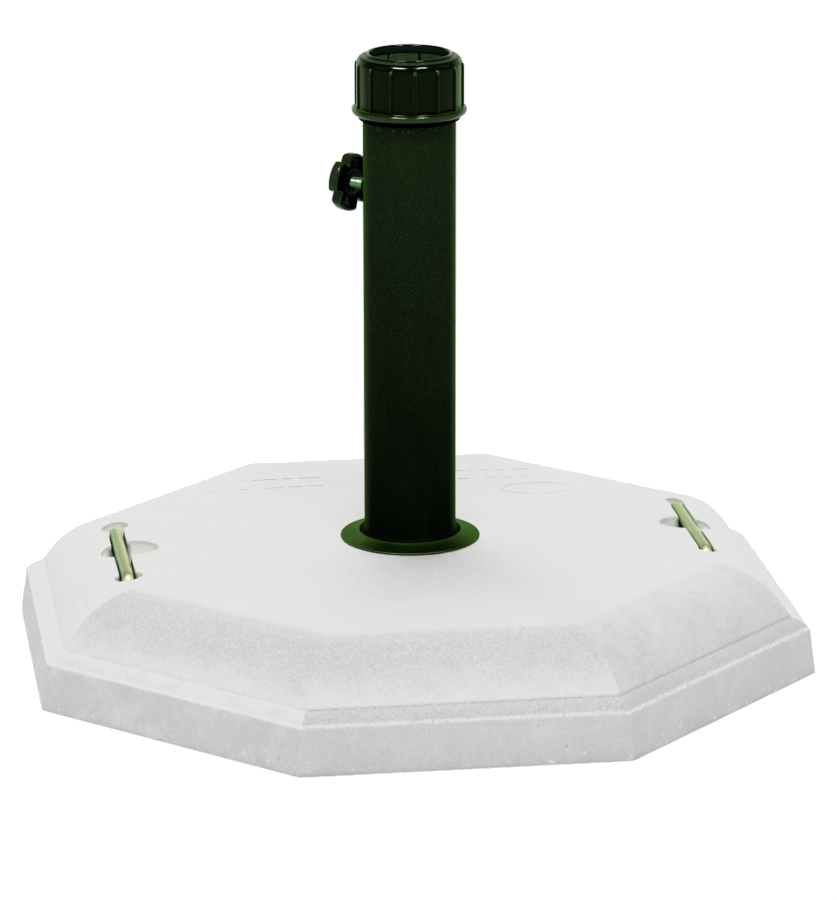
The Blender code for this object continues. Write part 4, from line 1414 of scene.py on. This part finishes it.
# ---------------------------------------------------------------- stage
FLOOR_DROP = 0.0004
BACKDROP = 1.05
LIGHTS = (
    # name, place, height aimed at, size, power, lights surfaces, shows in reflections
    ("key", (-0.10, 1.1, 2.6), 0.1, (1.6, 1.4), 44, True, False),
    ("fill_left", (-2.4, -0.6, 1.5), 0.1, (1.2, 1.6), 4.5, True, True),
    ("fill_right", (2.4, -0.2, 1.8), 0.1, (1.2, 1.6), 4, True, True),
    ("front", (0.0, -1.0, 2.3), 0.1, (1.2, 0.5), 23, True, False),
    ("strip_left", (-0.78, -1.05, 2.1), 0.35, (0.75, 0.32), 82, False, True),
    ("strip_right", (0.60, -1.1, 2.1), 0.35, (0.58, 0.32), 64, False, True),
)
TONE_TOE = 0.07
TOE_STEPS = (0.006, 0.014, 0.03, 0.06, 0.12, 0.25, 0.5)
TONE_SHOULDER = ((0.66, 0.655), (0.76, 0.735), (0.86, 0.775), (0.95, 0.80))
CAMERA_PLACE = (-0.4148, -2.9381, 0.9926)
CAMERA_TURN = (1.2885, 0.0012, -0.1425)
CAMERA_LENS = 188.5
CAMERA_SENSOR = 36.0


def build_floor():
    """A white floor that lights the object from below and shows no shadow of its own."""
    bm = bmesh.new()
    bmesh.ops.create_grid(bm, x_segments=2, y_segments=2, size=12)
    floor = mesh_object("floor", bm)
    floor.location.z = -FLOOR_DROP
    g = Surface("floor")
    seen = g.add("LightPath").outputs["Is Camera Ray"]
    g.start(g.span(g.noise(0.6)), grey(0.88), grey(0.92))
    g.coat(seen, grey(0.0))
    g.set(Base_Color=g.colour, Roughness=0.9, Specular_IOR_Level=0.0)
    g.set(Emission_Color=grey(1.0), Emission_Strength=g.lerp(seen, 0.10, BACKDROP))
    floor.data.materials.append(g.material)


def build_world():
    """A white studio. Reflections see a bright band low behind the object and are dark elsewhere."""
    world = bpy.data.worlds.new("studio")
    bpy.context.scene.world = world
    g = Graph(world)
    g.tree.nodes.clear()
    towards = g.add("SeparateXYZ", {"Vector": g.add("TexCoord").outputs["Generated"]}).outputs
    low = g.spread(g.calc("ABSOLUTE", towards["Z"]), 0.55, 0.15)
    band = g.times(g.spread(towards["Y"], 0.05, 0.85), low)
    path = g.add("LightPath").outputs
    light = g.blend(path["Is Glossy Ray"], 0.53, g.lerp(band, 0.10, 1.1))
    background = g.add("Background", {"Strength": g.blend(path["Is Camera Ray"], light, BACKDROP)})
    g.tree.links.new(background.outputs[0], g.add("OutputWorld").inputs["Surface"])


def build_lights():
    for name, place, aim, size, power, diffuse, glossy in LIGHTS:
        data = bpy.data.lights.new(name, "AREA")
        data.shape = "RECTANGLE"
        data.size, data.size_y = size
        data.energy = power
        light = bpy.data.objects.new(name, data)
        bpy.context.scene.collection.objects.link(light)
        light.location = place
        light.visible_diffuse = diffuse
        light.visible_glossy = glossy
        light.rotation_euler = (Z_AXIS * aim - Vector(place)).to_track_quat("-Z", "Y").to_euler()


def set_tone():
    """A print-like tone curve: dark tones are deepened, and pale ones drawn together below white."""
    view = bpy.context.scene.view_settings
    view.view_transform = "Standard"
    view.use_curve_mapping = True
    curve = view.curve_mapping.curves[3]
    toe = [(x, (1 + TONE_TOE) * x * x / (x + TONE_TOE)) for x in TOE_STEPS]
    for x, y in (*toe, *TONE_SHOULDER):
        curve.points.new(x, y)
    for point in curve.points:
        point.handle_type = "AUTO_CLAMPED"
    view.curve_mapping.update()


def build_camera():
    data = bpy.data.cameras.new("camera")
    data.lens = CAMERA_LENS
    data.sensor_width = CAMERA_SENSOR
    camera = bpy.data.objects.new("camera", data)
    bpy.context.scene.collection.objects.link(camera)
    camera.location = CAMERA_PLACE
    camera.rotation_euler = Euler(CAMERA_TURN, "XYZ")
    bpy.context.scene.camera = camera


build_plinth()
build_cast_marks()
build_handle(HANDLES[0])
build_handle(HANDLES[1])
build_post()
build_rosette()
build_foot_collar()
build_sleeve()
build_wedge_ring()
build_cap()
build_weld_nut()
build_weld_bead()
build_clamp_screw()
build_clamp_pad()
build_knob()
for hidden in ("foot_disc", "anchor_rod_lower", "anchor_rod_upper"):
    dress(frame["nodes"][hidden], "bare_steel")
build_floor()
build_world()
build_lights()
build_camera()
set_tone()
